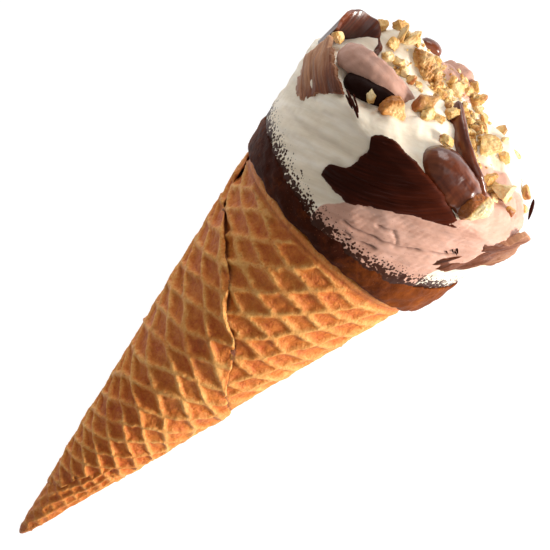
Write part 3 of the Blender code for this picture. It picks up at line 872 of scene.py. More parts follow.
@dataclass(frozen=True)
class Outline:
    """A closed outline on the head's side, seen from one direction.

    Attributes:
        corners: (sideways, height) places in millimetres, in order.
        facing: the direction that it is seen from, in degrees round the axis.
        centre: a place that every stretch of the outline can be seen from.
    """

    corners: Pairs
    facing: float
    centre: tuple[float, float]

    def rings(self, shares: np.ndarray, count: int, ragged: float, seed: int) -> np.ndarray:
        """Places at shares of the way from the centre to the ragged outline.

        Args:
            shares: (n,) from 0 at the centre to 1 on the outline.
            count: places round each ring.
            ragged: how far the edge strays, in millimetres.
            seed: picks the raggedness.

        Returns:
            (n, count, 2) sideways and height.
        """
        edge = evened(np.array(self.corners), count)
        middle = np.array(self.centre)
        out = edge - middle
        reach = np.linalg.norm(out, axis=1, keepdims=True)
        stray = ripples(edge, (ragged, 3.0, seed), (0.5 * ragged, 0.9, seed + 1))
        edge = middle + out * (1 + stray[:, None] / reach)
        return middle + (edge - middle) * shares[:, None, None]

    def angle_at(self, places: np.ndarray) -> np.ndarray:
        """Angle round the axis, in degrees, where a place meets the head's side."""
        radius = places[..., 1] * SLOPE + 0.3
        share = np.clip(places[..., 0] / radius, -0.995, 0.995)
        return self.facing + np.degrees(np.arcsin(share))


# ---------------------------------------------------------------- the wafer


@dataclass(frozen=True)
class RibFamily:
    """Parallel ribs in the wafer's flat state.

    Attributes:
        lean: angle of the ribs above the level, in degrees; positive rises to the right.
        pitch: distance between ribs in millimetres.
        first: distance of one rib from the apex, measured square to the ribs.
    """

    lean: float
    pitch: float
    first: float

    def profile(self, flat: np.ndarray, width: float) -> np.ndarray:
        """1 on a rib's middle, falling to 0: exp(-(distance / width) ** 2.2)."""
        turn = math.radians(self.lean)
        at = flat[..., 1] * math.cos(turn) - flat[..., 0] * math.sin(turn) - self.first
        near = at - self.pitch * np.round(at / self.pitch)
        return np.exp(-((np.abs(near) / width) ** 2.2))


@dataclass(frozen=True)
class Lattice:
    """Two families of ribs that cross.

    Attributes:
        first: one family.
        second: the other.
        width: half width of a rib in millimetres.
        finer_below: distance from the apex under which the pattern draws together.
    """

    first: RibFamily
    second: RibFamily
    width: float = 0.76
    finer_below: float = 0.0

    def relief(self, flat: np.ndarray) -> np.ndarray:
        """0 in the pockets and 1 on the ribs, rounded where ribs cross.

        One minus the product of what each family leaves, on places that wander by a few
        tenths of a millimetre, because the sheet stretched as it was rolled. Below
        finer_below the pattern draws together and its ribs get steeper.
        """
        sideways = ripples(flat, (0.50, 16.0, 3), (0.17, 3.2, 5))
        upwards = ripples(flat, (0.50, 16.0, 4), (0.17, 3.2, 6))
        flat = flat + np.stack([sideways, upwards], -1)
        below = np.clip(self.finer_below - flat[..., 1], 0, None)
        steep = 1 + 0.62 * eased(0, 11, below)
        flat = np.stack([flat[..., 0] * steep, flat[..., 1] - 0.008 * below**2], -1)
        one = self.first.profile(flat, self.width)
        two = self.second.profile(flat, self.width)
        return 1 - (1 - one) * (1 - two)


@dataclass
class Wafer:
    """The rolled sugar wafer: the turn under the seam, and the outer turn over it.

    Attributes:
        maker: builds the meshes.
        finishes: the shared finishes.
        start: angle behind where the outer turn starts.
        end: angle behind where it ends.
        depth: height of the ribs over the pockets.
        sheet: thickness of the outer turn.
        lip: height where the ribs give way to a plain rim.
        above: the lattice over the outer turn.
        outer: the lattice on the outer turn.
        tip: the finer lattice under it.
        upper: the outer turn's upper edge, as (angle, height) pairs.
        lower: its lower edge.
        brim: section of the rim, as (distance in from the outside, height) pairs.
        calm: height inside the wafer down to which the rim's waves reach.
    """

    maker: MeshMaker
    finishes: Finishes
    start: float = -184.0
    end: float = 130.0
    depth: float = 0.95
    sheet: float = 0.80
    lip: float = 107.6
    above: Lattice = Lattice(RibFamily(-10.0, 5.0, 108.3), RibFamily(46.0, 5.62, 67.0))
    outer: Lattice = Lattice(RibFamily(-33.5, 5.45, 42.9), RibFamily(29.0, 5.6, 46.9), 0.74, 57.0)
    tip: Lattice = Lattice(RibFamily(-25.0, 3.1, 22.0), RibFamily(68.0, 2.3, 6.1), 0.48)
    upper: Pairs = (
        (-190, 109.6), (-88, 109.6), (-84, 109.2), (-78, 106), (-75, 102.5), (-67, 98.4),
        (-55, 96.5), (-46.8, 95.3), (-40.4, 93.9), (-32.2, 92.0), (-26, 91.0), (-18.3, 88.7),
        (-12.9, 86.1), (-7.1, 83.8), (-3.4, 82.7), (5.4, 81.5), (11.9, 79.9), (17.2, 78.1),
        (22.5, 75.6), (27.9, 72.9), (33.5, 70.9), (43.8, 67.9), (49.1, 67.0), (70, 64),
        (90, 62), (110, 55), (130, 47.5),
    )  # fmt: skip
    lower: Pairs = (
        (-190, 15.5), (-90, 18), (-48, 19.5), (-30, 20.5), (-4, 22.8), (3, 26), (12, 28.5),
        (25, 31.5), (38, 33.5), (60, 31.5), (90, 30.5), (110, 37), (130, 46.5),
    )  # fmt: skip
    brim: Pairs = (
        (-0.12, 109.75), (-0.45, 110.0), (-0.95, 110.05), (-1.35, 109.8), (-1.55, 109.2),
        (-1.7, 104.0), (-1.7, 100.0),
    )  # fmt: skip
    calm: float = 103.0

    def flat(self, angle: np.ndarray, height: np.ndarray) -> np.ndarray:
        """Places in the sheet's flat state: the cone unrolled about its apex."""
        slant = height / math.cos(FLARE)
        turn = np.radians(angle) * math.sin(FLARE)
        return np.stack([slant * np.sin(turn), slant * np.cos(turn)], -1)

    def uneven(self, flat: np.ndarray) -> np.ndarray:
        """Small blisters and dents of the baked sheet, in millimetres."""
        return ripples(flat, (0.16, 9.0, 7), (0.07, 2.6, 8), (0.045, 1.1, 9))

    def pressed(self, height: np.ndarray) -> np.ndarray:
        """1 where the plates pressed ribs and 0 on the plain rim."""
        return 1 - eased(self.lip - 0.9, self.lip - 0.2, height)

    def rib_height(self, flat: np.ndarray, seed: int) -> np.ndarray:
        """How high the ribs stand, which changes slowly over the sheet."""
        return self.depth * (1 + 0.22 * ripple(flat, 22.0, seed))

    def covered(self, angle: np.ndarray, height: np.ndarray) -> np.ndarray:
        """1 well under the outer turn and 0 where the turn under it shows."""
        from_top = along_table(self.upper, angle) - height
        from_low = height - along_table(self.lower, angle)
        under = eased(1.2, 3.0, from_top) * eased(0.8, 2.2, from_low)
        return under * (1 - eased(self.end - 12, self.end - 2, angle))

    def under_relief(self, angle: np.ndarray, height: np.ndarray) -> tuple[np.ndarray, ...]:
        """Raise over the plain cone, and the relief and toast_and_shade marks, of the turn under;
        the latter holds painted shade along the seam's line and in the lip's groove.
        """
        flat = self.flat(angle, height)
        seam = along_table(self.upper, angle)
        middle = (seam + along_table(self.lower, angle)) / 2
        high = eased(-2, 2, height - middle)
        ribs = self.above.relief(flat) * high + self.tip.relief(flat) * (1 - high)
        keep = self.pressed(height) * (0.55 + 0.45 * eased(16, 34, height))
        keep = keep * (1 - self.covered(angle, height))
        ribs = ribs * keep
        groove = np.exp(-(((height - self.lip) / 0.35) ** 2))
        lattice = (ribs - 0.55 * keep) * self.rib_height(flat, 11)
        blisters = self.uneven(flat) * (0.4 + 0.6 * keep)
        raised = (lattice + blisters) * eased(4.0, 9.0, height)
        raised = raised - 0.30 * groove + 0.12 * eased(self.lip, self.lip + 0.8, height)
        # Painted shadow: the turn under is darkened just above the seam, where the outer turn's
        # edge shades it.
        seam_shadow = np.exp(-((np.clip(height - seam, 0, None) / 0.45) ** 2)) * (height >= seam - 1)
        seam_shadow = seam_shadow * (angle < self.end - 4)
        # The groove term is painted shade in the lip's groove; the last term browns the tip.
        toast_and_shade = 0.75 * seam_shadow + 0.30 * groove + 0.30 * (1 - eased(5.0, 16.0, height))
        brim = eased(self.lip + 0.2, self.lip + 0.9, height) * 0.5
        return raised, ribs + brim, toast_and_shade

    def under_turn(self) -> bpy.types.Object:
        """The whole cone, one step lower than the outer turn.

        Rings run from the tip up the outside, over the lip and down the inside. The outside
        is the height times the slope, less the step of the roll, plus the ribs; the blunt
        tip follows a quarter of an ellipse.
        """
        columns = 400
        angle = self.start + np.arange(columns) * 360.0 / columns
        tip = TIP_HEIGHT + 2.6 * (1 - np.cos(np.linspace(0.12, 1, 9) * math.pi / 2))
        rows = np.concatenate([tip, np.linspace(tip[-1] + 0.4, RIM_TOP, 196)])
        phi, height = np.meshgrid(angle, rows)
        blunt = np.sqrt(np.clip(1 - ((6.6 - np.minimum(height, 6.6)) / 2.62) ** 2, 0.0, 1))
        behind = np.exp(-(((phi - 153) / 26) ** 2))
        fall = 0.3 + 0.7 * eased(-1, 2, height - along_table(self.lower, phi))
        step = ROLL_STEP * (1 - 0.6 * behind) * eased(6, 22, height) * fall
        step = step + 0.55 * self.covered(phi, height)
        raised, relief, toast_and_shade = self.under_relief(phi, height)
        radius = (height * SLOPE - step) * blunt + raised
        outside = place_on_side(phi, radius, height)
        wave = 0.25 * ripple(self.flat(angle, np.full(columns, RIM_HEIGHT)), 14.0, 12)
        inward, level = (np.array(column)[:, None] for column in zip(*self.brim))
        radius = np.minimum(level, RIM_TOP) * SLOPE + raised[-1] - step[-1] + inward
        inside = place_on_side(angle, radius, level + wave * (level > self.calm))
        rings = np.concatenate([outside, inside])
        tail = np.ones((len(level), 1))
        marks = {
            "relief": np.concatenate([relief, tail * relief[-1:]]),
            "toast_and_shade": np.concatenate([toast_and_shade, tail * 0.1 + np.zeros(columns)]),
        }
        return self.maker.closed_tube("wafer_under_turn", rings, marks)

    def outer_turn(self) -> bpy.types.Object:
        """The sheet's outer turn, a closed band between its lower and upper edges.

        Each ring is a section along the sheet: down the outside from the upper edge, round
        the lower edge, and up the inside. The free upper edge stands off a little, so that
        it throws a thin dark line on the turn under it, and the sheet thins to nothing at
        its two ends behind.
        """
        count = 372
        angle = np.linspace(self.start, self.end, count)
        shares = np.linspace(0, 1, 226)
        shares = shares + 0.0015 * np.sin(shares * 2 * math.pi)
        top, low = along_table(self.upper, angle), along_table(self.lower, angle)
        rough = self.flat(angle, top)
        top = top + ripples(rough, (0.22, 5.0, 13), (0.10, 1.3, 14))
        low = low + 0.10 * ripple(rough, 4.0, 15)
        top = np.maximum(top, low + 0.3)
        phi = np.repeat(angle[:, None], len(shares), 1)
        height = top[:, None] + (low - top)[:, None] * shares
        flat = self.flat(phi, height)
        keep = self.pressed(height)
        ribs = self.outer.relief(flat) * keep
        strength = self.rib_height(flat, 16) * (0.6 + 0.4 * eased(18, 34, height))
        from_top, from_low = top[:, None] - height, height - low[:, None]
        taper = eased(self.start, self.start + 5, angle)
        taper = (taper * (1 - eased(self.end - 14, self.end, angle)))[:, None]
        lift = 0.20 * np.exp(-((from_top / 3.0) ** 2)) * (1 + 0.5 * ripple(flat, 8.0, 17))
        lift = lift * eased(-100, -84, phi)
        lift = lift + 0.06 * np.exp(-((from_low / 1.5) ** 2))
        round_off = 0.42 * np.exp(-((from_top / 0.32) ** 2))
        round_off = round_off + 0.32 * np.exp(-((from_low / 0.35) ** 2))
        raised = (ribs - 0.55 * keep) * strength + self.uneven(flat) + lift - round_off
        sheet = height * SLOPE + (raised + 0.05) * (0.15 + 0.85 * taper) - 0.45 * (1 - taper)
        outside = place_on_side(phi, sheet, height)
        under = top[:, None] + (low - top)[:, None] * np.linspace(1, 0, 18)
        gap = np.exp(-(((top[:, None] - under) / 2.2) ** 2)) * eased(-100, -84, angle)[:, None]
        depth = self.sheet * taper + 0.1
        inner = under * SLOPE - depth + 0.42 * gap * taper
        inside = place_on_side(angle[:, None], inner, under)
        rings = np.concatenate([outside, inside], 1)
        # Painted highlight: the relief mark is raised along the free upper edge, so it shows
        # lighter as if lit.
        edge_highlight = np.exp(-((from_top / 0.55) ** 2)) * eased(-84, -70, phi)
        relief = np.clip(ribs + 0.28 * edge_highlight, 0, 1.2)
        # Darker along the lower edge and towards the tip. The hidden inner side, which shows
        # through the gap at the left, gets 0.85 of the dark colour as painted shade.
        toast_and_shade = 0.08 * np.exp(-((from_low / 0.8) ** 2)) + 0.25 * (1 - eased(14, 30, height))
        marks = {
            "relief": np.concatenate([relief, 0 * inner + 0.2], 1),
            "toast_and_shade": np.concatenate([toast_and_shade, 0 * inner + 0.85], 1),
        }
        return self.maker.closed_tube("wafer_outer_turn", rings, marks)

    def build(self) -> None:
        """Builds and dresses both turns."""
        for piece in (self.under_turn(), self.outer_turn()):
            finished(piece, self.finishes.wafer, Slot.WAFER, "waffle_cone")


# ---------------------------------------------------------------- the ice cream


FRONT_STREAM = Outline(
    (
        (-13.0, 100.0), (-16.5, 115.7), (-15.2, 120.5), (-14.2, 124.0), (-11.0, 127.8),
        (-4.0, 132.2), (2.8, 136.4), (7.0, 142.0), (9.0, 150.0), (24.0, 150.0),
        (22.0, 139.0), (16.0, 133.6), (13.4, 128.6), (9.6, 122.3), (10.0, 117.9), (7.0, 100.0),
    ),
    30,
    (0, 120),
)  # fmt: skip


@dataclass(frozen=True)
class Lobe:
    """A soft swelling of the top: height times exp(-(dx/wide)^2 - (dy/deep)^2).

    Attributes:
        x: its middle to the right.
        y: its middle away from the shown side.
        height: how far it rises, negative for a hollow.
        wide: its reach along x.
        deep: its reach along y.
    """

    x: float
    y: float
    height: float
    wide: float
    deep: float

    def at(self, x: np.ndarray, y: np.ndarray) -> np.ndarray:
        """Its height over each place."""
        across, away = (x - self.x) / self.wide, (y - self.y) / self.deep
        return self.height * np.exp(-(across**2) - away**2)


@dataclass
class Filling:
    """Ice cream in two flavours, moulded by the wafer's flare and piped into a top.

    Attributes:
        maker: builds the meshes.
        finishes: the shared finishes.
        neck: height where it starts inside the wafer.
        join: height where its side ends and the turn to the top starts.
        lobes: swellings of the top.
        pink_spots: places of the top where the chocolate flavour comes out.
        stains: thin smears of caramel, as place and radius.
        creases: lines on the side, as (angle, height), where two folds meet.
    """

    maker: MeshMaker
    finishes: Finishes
    neck: float = 106.0
    join: float = 135.0
    lobes: tuple[Lobe, ...] = (
        Lobe(-1.5, -15.0, 3.4, 7.0, 6.0),
        Lobe(-16.5, 0.5, 6.6, 8.0, 4.8),
        Lobe(15.0, 8.0, 3.6, 10.0, 8.0),
        Lobe(25.0, -8.0, 1.0, 4.5, 6.0),
        Lobe(18.0, -11.5, -2.0, 5.0, 4.5),
        Lobe(-2.0, 6.0, 5.8, 7.0, 6.0),
        Lobe(-13.0, 11.0, 5.2, 7.0, 7.5),
        Lobe(2.0, 20.0, 3.0, 7.0, 6.0),
        Lobe(-16.0, -20.0, -2.2, 5.0, 4.5),
        Lobe(13.0, -7.5, -3.4, 7.0, 5.0),
        Lobe(-14.0, -13.0, -2.6, 6.0, 4.0),
    )
    pink_spots: tuple[Lobe, ...] = (
        Lobe(-3.0, 5.5, 1.0, 6.5, 5.0),
        Lobe(23.5, -11.5, 1.0, 5.0, 6.5),
        Lobe(-14.0, -19.0, 1.0, 5.0, 4.0),
        Lobe(4.0, 19.0, 1.0, 6.0, 5.0),
    )
    stains: Rows = (
        (-9.5, -23.8, 138.2, 1.8), (-12.6, -24.0, 136.9, 1.5), (-7.2, -23.6, 139.4, 1.4),
    )  # fmt: skip
    creases: tuple[Pairs, ...] = (
        ((2, 118.8), (8, 119.1), (15, 120.4), (24.3, 121.7), (33, 124.4), (46, 127.5)),
        ((14, 123.4), (20, 124.6), (24, 123.6), (26, 121.9)),
        ((6, 117.0), (14, 117.6), (20, 118.9)),
        ((-60, 123.5), (-45, 124.8), (-28, 127.5), (-15, 129.5)),
        ((-36, 131.0), (-25, 133.2), (-12, 134.5)),
        ((64, 117.0), (80, 120.0), (96, 126.0), (110, 133.0)),
        ((-120, 116.0), (-105, 121.0), (-92, 128.0), (-88, 134.0)),
        ((140, 118.0), (155, 123.0), (175, 127.0), (190, 133.0)),
    )

    def radius(self, angle: np.ndarray, height: np.ndarray) -> np.ndarray:
        """The wafer's flare carried on, a little wider at its left and right."""
        return height * SLOPE + SIDE_BULGE * np.sin(np.radians(angle)) ** 2

    def crown(self, x: np.ndarray, y: np.ndarray) -> np.ndarray:
        """Height of the top before it turns over.

        A dome that falls with the cube of the radius, plus the lobes, plus folds that swirl
        round the axis like those a star nozzle leaves.
        """
        radius = np.hypot(x, y)
        turn = np.arctan2(y, x)
        plain = 145.0 - 6.5 * (radius / (EDGE_HEIGHT * SLOPE)) ** 3
        swell = sum(lobe.at(x, y) for lobe in self.lobes)
        fold = np.abs(np.sin(3.5 * turn + 0.16 * radius + 0.5 * np.sin(turn)))
        swirl = 1.1 * (np.sqrt(fold) - 0.7) * eased(7, 16, radius)
        swirl = swirl * (1 - 0.5 * eased(24, 31, radius))
        small = ripples(np.stack([x, y], -1), (0.45, 6.0, 21), (0.05, 2.0, 22))
        return plain + swell + swirl + small

    def height_at(self, x: np.ndarray, y: np.ndarray) -> np.ndarray:
        """Height of the finished top: the crown, turned over at its edge like a superellipse."""
        edge = self.radius(np.degrees(np.arctan2(x, -y)), self.join)
        share = np.clip(np.hypot(x, y) / edge, 0, 1)
        return self.join + (self.crown(x, y) - self.join) * np.sqrt(1 - share**8)

    def pink(self, places: np.ndarray) -> np.ndarray:
        """1 where the chocolate flavour shows: inside a stream's outline or on a spot."""
        x, y, height = places[..., 0], places[..., 1], places[..., 2]
        found = np.zeros(x.shape)
        corners = resampled(np.array(FRONT_STREAM.corners), 120, closed=True)
        for facing in (30.0, 200.0):
            turn = math.radians(facing)
            sideways = x * math.cos(turn) + y * math.sin(turn)
            towards = x * math.sin(turn) - y * math.cos(turn)
            seen = np.stack([sideways, height], -1)
            seen = seen + 0.45 * np.stack([ripple(seen, 7.0, 31), ripple(seen, 7.0, 32)], -1)
            inside = eased(-0.9, 0.9, outline_distance(seen, corners))
            found = np.maximum(found, inside * eased(8, 13, towards))
        spots = sum(spot.at(x, y) for spot in self.pink_spots)
        wander = 0.18 * ripple(places, 5.0, 33)
        return np.maximum(found, eased(0.35, 0.75, spots + wander) * eased(134, 138, height))

    def stained(self, places: np.ndarray) -> np.ndarray:
        """1 in the middle of a smear, falling as exp(-(distance / radius) ** 2)."""
        away = np.linalg.norm(places[..., None, :] - np.array(self.stains)[:, :3], axis=-1)
        away = away * (1 + 0.3 * ripple(places, 2.0, 34))[..., None]
        return np.exp(-((away / np.array(self.stains)[:, 3]) ** 2)).max(-1)

    def build(self) -> None:
        """One closed surface: up the side from inside the wafer, over the edge to the crown."""
        columns = 440
        angle = np.arange(columns) * 360.0 / columns - 180.0
        side_phi, side_height = np.meshgrid(angle, np.linspace(self.neck, self.join, 84))
        drawn_in = 2.4 * (1 - eased(109.6, 111.4, side_height))
        side = place_on_side(side_phi, self.radius(side_phi, side_height) - drawn_in, side_height)
        share = np.sin(np.linspace(1, 0.012, 126) * math.pi / 2) ** 1.15
        phi, rho = np.meshgrid(angle, share[1:])
        reach = rho * self.radius(phi, self.join)
        top = place_on_side(phi, reach, self.join)
        top[..., 2] = self.height_at(top[..., 0], top[..., 1])
        rings = np.concatenate([side, top])
        normals = surface_of(rings)
        pink = self.pink(rings)
        shape = ripples(rings, (0.22, 8.0, 23), (0.05, 2.4, 24))
        grain = 0.045 * ripple(rings, 0.9, 25) * (0.5 + pink)
        spread = wrapped(np.degrees(np.arctan2(rings[..., 0], -rings[..., 1])))
        arc = np.radians(spread) * HEAD_RADIUS
        flow = (rings[..., 2] - 0.32 * arc) * 1.9 + 1.5 * ripple(rings, 9.0, 26)
        flow = 0.06 * np.sin(flow)
        step = 0.45 * pink * (1 - 0.6 * pink)
        seen = np.stack([arc, rings[..., 2]], -1)
        valley = np.zeros(arc.shape)
        for line in self.creases:
            bent = tuple((math.radians(a) * HEAD_RADIUS, h) for a, h in line)
            away = line_distance(seen + 0.3 * ripple(rings, 4.0, 27)[..., None], bent)
            valley = np.maximum(valley, np.exp(-((away / (0.75 - 0.42 * pink)) ** 2)))
        broken = np.clip(0.75 + 0.5 * ripple(rings, 4.5, 29), 0.1, 1)
        valley = valley * (0.22 + 0.78 * pink) * broken
        inside = eased(111, 115, rings[..., 2])
        moved = (shape + grain + flow + step + 0.35 * pink - 0.75 * valley) * inside
        rings = rings + normals * moved[..., None]
        over = rings[..., 2] - band_edge(spread) + 0.5 * ripple(rings, 3.0, 28)
        fade = 7.2 + 3.0 * np.sin(np.radians(spread)) ** 2
        marks = {
            "pink": pink,
            "spray": np.clip(0.74 - over / fade, 0, 1),
            "shade": (0.45 + 0.4 * pink) * valley,
            "syrup": 0.75 * self.stained(rings),
            "across": rings[..., 2] - 0.45 * arc,
            "along": arc + 0.2 * rings[..., 2],
        }
        piece = self.maker.closed_tube("ice_cream_head", rings, marks)
        nodes = ("vanilla_ice_cream", "chocolate_ice_cream_front", "chocolate_ice_cream_back")
        finished(piece, self.finishes.ice, Slot.VANILLA, *nodes)


@dataclass
class IceCreamFolds:
    """Loose folds of the chocolate flavour that stand on the top."""

    maker: MeshMaker
    finishes: Finishes

    def rope(
        self, name: str, path: list, radii: list, squash: float, shade: float
    ) -> bpy.types.Object:
        """A soft rope of ice cream: an oval carried along a line, with its ends rounded off.

        Args:
            name: the piece's name.
            path: places it runs through.
            radii: its radius at each of them.
            squash: its second axis as a share of the first.
            shade: how much painted shade darkens it, for a rope lying in shadow.

        Returns:
            The object.
        """
        line = resampled(np.array(path, float), 70, closed=False)
        at = np.linspace(0, 1, 70)
        size = np.interp(at, np.linspace(0, 1, len(radii)), radii)
        size = size * np.sqrt(np.clip(1 - (2 * at - 1) ** 12, 0.01, 1))
        turn = np.arange(48) / 48 * 2 * math.pi
        groove = 1 + 0.05 * np.sin(3 * turn + 3 * at[:, None])
        groove = groove + 0.012 * np.sin(7 * turn - 5 * at[:, None])
        local = np.stack([np.cos(turn) * groove, squash * np.sin(turn) * groove], -1)
        rings = carried(line, local * size[:, None, None], np.array([0.1, 0.2, 1.0]))
        rough = ripples(rings, (0.16, 2.2, 41), (0.05, 0.8, 42))
        rings = rings + surface_of(rings) * rough[..., None]
        flat = np.ones(rings.shape[:2])
        marks = {"pink": flat, "shade": shade * flat}
        marks |= {"across": turn * size[:, None], "along": at[:, None] * 20 * flat}
        return self.maker.closed_tube(name, rings, marks)

    def build(self) -> None:
        """Builds the tongue at the left and the twist at the top."""
        tongue = [
            (-23.2, -14.5, 140.6), (-20.4, -18.2, 142.0), (-15.4, -20.4, 143.5),
            (-10.5, -19.8, 143.8), (-6.5, -17.0, 142.9), (-3.0, -14.0, 142.0),
        ]  # fmt: skip
        radii = [2.9, 3.3, 2.9, 2.3, 1.9, 1.3]
        # The last arguments are painted shade: 0.35 on the tongue, which lies in shadow, and 0.1
        # on the twist.
        piece = self.rope("chocolate_ice_tongue", tongue, radii, 0.95, 0.35)
        finished(piece, self.finishes.ice, Slot.CHOCOLATE_ICE, "chocolate_ice_cream_tongue")
        twist = [(-7.0, 9.5, 146.4), (-5.0, 8.0, 149.0), (-2.4, 7.5, 150.0), (0.0, 9.0, 148.4)]
        piece = self.rope("chocolate_ice_twist", twist, [3.0, 3.2, 2.9, 1.8], 0.85, 0.1)
        finished(piece, self.finishes.ice, Slot.CHOCOLATE_ICE, "chocolate_ice_cream_twist")


@dataclass
class Band:
    """The coating's ring between the wafer's lip and the ice cream.

    It is a closed loop carried round the axis: out from the head by about half a millimetre
    at the left and twice that at the right, up to a ragged edge that rises to both sides,
    and back inside.
    """

    maker: MeshMaker
    finishes: Finishes
    filling: Filling

    def build(self) -> None:
        """Builds and dresses the ring."""
        columns = 360
        angle = np.arange(columns) * 360.0 / columns - 180.0
        turn = np.radians(angle)
        line = np.stack([np.sin(turn), np.cos(turn)], -1) * 26
        ragged = ripples(line, (0.35, 3.5, 51), (0.22, 1.2, 52))
        edge = band_edge(angle) + 0.3 * np.sin(5 * turn) + ragged
        thick = 0.55 + 0.65 * eased(-60, 60, angle) * (1 - eased(110, 170, angle))
        share = np.linspace(0, 1, 40)[:, None]
        low = BAND_BASE + 0.25 * ripple(line, 6.0, 53)
        height = low + (edge - low) * share
        roll = np.sin(np.clip(share * 1.02, 0, 1) * math.pi) ** 0.35
        bulge = thick * (0.25 + 0.75 * roll) * (1 - 0.45 * share)
        radius = self.filling.radius(angle, height) + bulge
        outside = place_on_side(angle, radius, height)
        lumps = ripples(outside, (0.14, 4.0, 54), (0.06, 1.3, 55))
        outside = outside + surface_of(outside) * lumps[..., None]
        loops = [outside]
        for drop, inset in ((0.15, -0.1), (0.0, -0.5), (2.0, -0.9)):
            at = edge - drop
            loops.append(place_on_side(angle, self.filling.radius(angle, at) + inset, at)[None])
        base = place_on_side(angle, self.filling.radius(angle, low) - 1.6, low)[None]
        rings = np.concatenate([*loops, base])
        # Painted light: the tone is raised from the front round to the right, and a little at the
        # far left, where the lamps fall on the ring.
        light = 0.5 * eased(-10, 70, angle) * (1 - eased(120, 170, angle))
        light = 0.15 + light + 0.2 * (1 - eased(-90, -50, angle))
        marks = {"tone": np.tile(light, len(rings))}
        faces = closed_ring_faces(len(rings), columns)
        points = rings.reshape(-1, 3)
        piece = self.maker.build("chocolate_coating_ring", points, faces, marks)
        finished(piece, self.finishes.coating, Slot.COATING, "chocolate_band")


# ---------------------------------------------------------------- the chocolate


@dataclass(frozen=True)
class SheetCut:
    """A sheet of chocolate pressed on the head's side.

    Attributes:
        name: the piece's name.
        node: the solid that it stands for.
        outline: its outline.
        lean: direction of its blade lines, degrees above level.
        bow: how far those lines bend, per millimetre squared.
        lift: how far it stands off the head.
        thick: its thickness.
        fold: height of the soft folds along the lines.
        tones: lightness at its left and its right end.
        ragged: how far its edge strays.
        widest: height over which it stands straight up instead of following the flare.
    """

    name: str
    node: str
    outline: Outline
    lean: float
    bow: float = 0.0
    lift: float = 0.75
    thick: float = 1.5
    fold: float = 0.1
    tones: tuple[float, float] = (0.0, 0.0)
    ragged: float = 0.18
    widest: float = 135.4

    def build(self, maker: MeshMaker, filling: "Filling") -> bpy.types.Object:
        """A closed sheet: rings out from its middle on top, over the edge and back below.

        The top follows the head's side, lifted by a fixed amount, with folds and fine
        grooves that are sine waves and noise of the distance across the blade's lines.
        """
        shares = np.concatenate([[0.02], np.linspace(0.06, 0.9, 30), [0.94, 0.97, 0.99, 1.0]])
        there_and_back = np.concatenate([shares, np.linspace(1, 0.125, 8)])
        places = self.outline.rings(there_and_back, 220, self.ragged, 61)
        turn = math.radians(self.lean)
        sideways, height = places[..., 0], places[..., 1] - 130
        along = sideways * math.cos(turn) + height * math.sin(turn)
        across = height * math.cos(turn) - sideways * math.sin(turn) + self.bow * along**2
        lines = np.stack([across, along * 0.12], -1)
        grooves = ripples(lines, (0.07, 0.9, 62), (0.05, 0.45, 63))
        soft = self.fold * ripple(np.stack([across, along * 0.25], -1), 3.4, 64)
        soft = soft + 0.10 * ripple(places, 6.0, 65)
        top = len(shares)
        lift = np.full(along.shape, self.lift)
        lift[:top] += (grooves + soft)[:top] - 0.25 * shares[:, None] ** 18
        lift[top:] -= self.thick
        angle = self.outline.angle_at(places)
        radius = filling.radius(angle, np.minimum(places[..., 1], self.widest)) + lift
        rings = place_on_side(angle, radius, places[..., 1])
        low, high = sideways.min(), sideways.max()
        tone = self.tones[0] + (self.tones[1] - self.tones[0]) * (sideways - low) / (high - low)
        rim = np.where(np.arange(len(places)) >= top - 3, 0.25, 0.0)[:, None]
        marks = {"across": across, "along": along, "tone": tone + rim}
        rings, marks = rings[::-1], {key: value[::-1] for key, value in marks.items()}
        return maker.closed_tube(self.name, rings, marks, sharp=50)


@dataclass(frozen=True)
class Oval:
    """A rounded piece of chocolate that lies along a line.

    Attributes:
        name: the piece's name.
        node: the solid that it stands for.
        path: places it runs through.
        sizes: its two half widths at each, the first along upward.
        upward: what its first axis leans to.
        wrinkle: depth of the wrinkles across it.
        tone: how light it is.
        glossy: whether it is the poured chocolate and not the dark scraped one.
    """

    name: str
    node: str
    path: Rows
    sizes: Pairs
    upward: Triple = (0.0, 0.0, 1.0)
    wrinkle: float = 0.1
    tone: float = 0.0
    glossy: bool = True

    def build(self, maker: MeshMaker) -> bpy.types.Object:
        """A rounded box section carried along the line and closed round at both ends.

        Its size follows the square root of one minus the fifth power of the distance from
        the middle. The wrinkles are two sine waves of the length, which fade in towards its
        far end.
        """
        count, around = 110, 72
        line = resampled(np.array(self.path, float), count, closed=False)
        at = np.linspace(0, 1, count)
        places = np.linspace(0, 1, len(self.sizes))
        size = np.stack([np.interp(at, places, column) for column in zip(*self.sizes)], -1)
        size = size * np.sqrt(np.clip(1 - np.abs(2 * at - 1) ** 5, 0.004, 1))[:, None]
        turn = np.arange(around) / around * 2 * math.pi
        ring = np.stack([np.cos(turn), np.sin(turn)], -1)
        ring = np.sign(ring) * np.abs(ring) ** 0.85
        rings = carried(line, ring * size[:, None], np.array(self.upward))
        length = np.linalg.norm(np.diff(line, axis=0), axis=1).sum()
        along = at[:, None] * length + 0 * turn
        bent = along + 1.6 * np.cos(turn - 0.6)
        waves = np.sin(bent * 1.5) * 0.5 + np.sin(bent * 3.4 + 1.3) * 0.4
        waves = waves * eased(0.35, 0.8, at)[:, None]
        small = ripples(rings, (0.5 * self.wrinkle, 3.0, 71), (0.02, 0.9, 72))
        rings = rings + surface_of(rings) * (self.wrinkle * waves + small)[..., None]
        across = 0.35 * turn * size.mean(-1)[:, None]
        tone = self.tone + 0.10 * ripple(rings, 5.0, 73)
        marks = {"across": across, "along": along, "tone": tone}
        return maker.closed_tube(self.name, rings, marks)


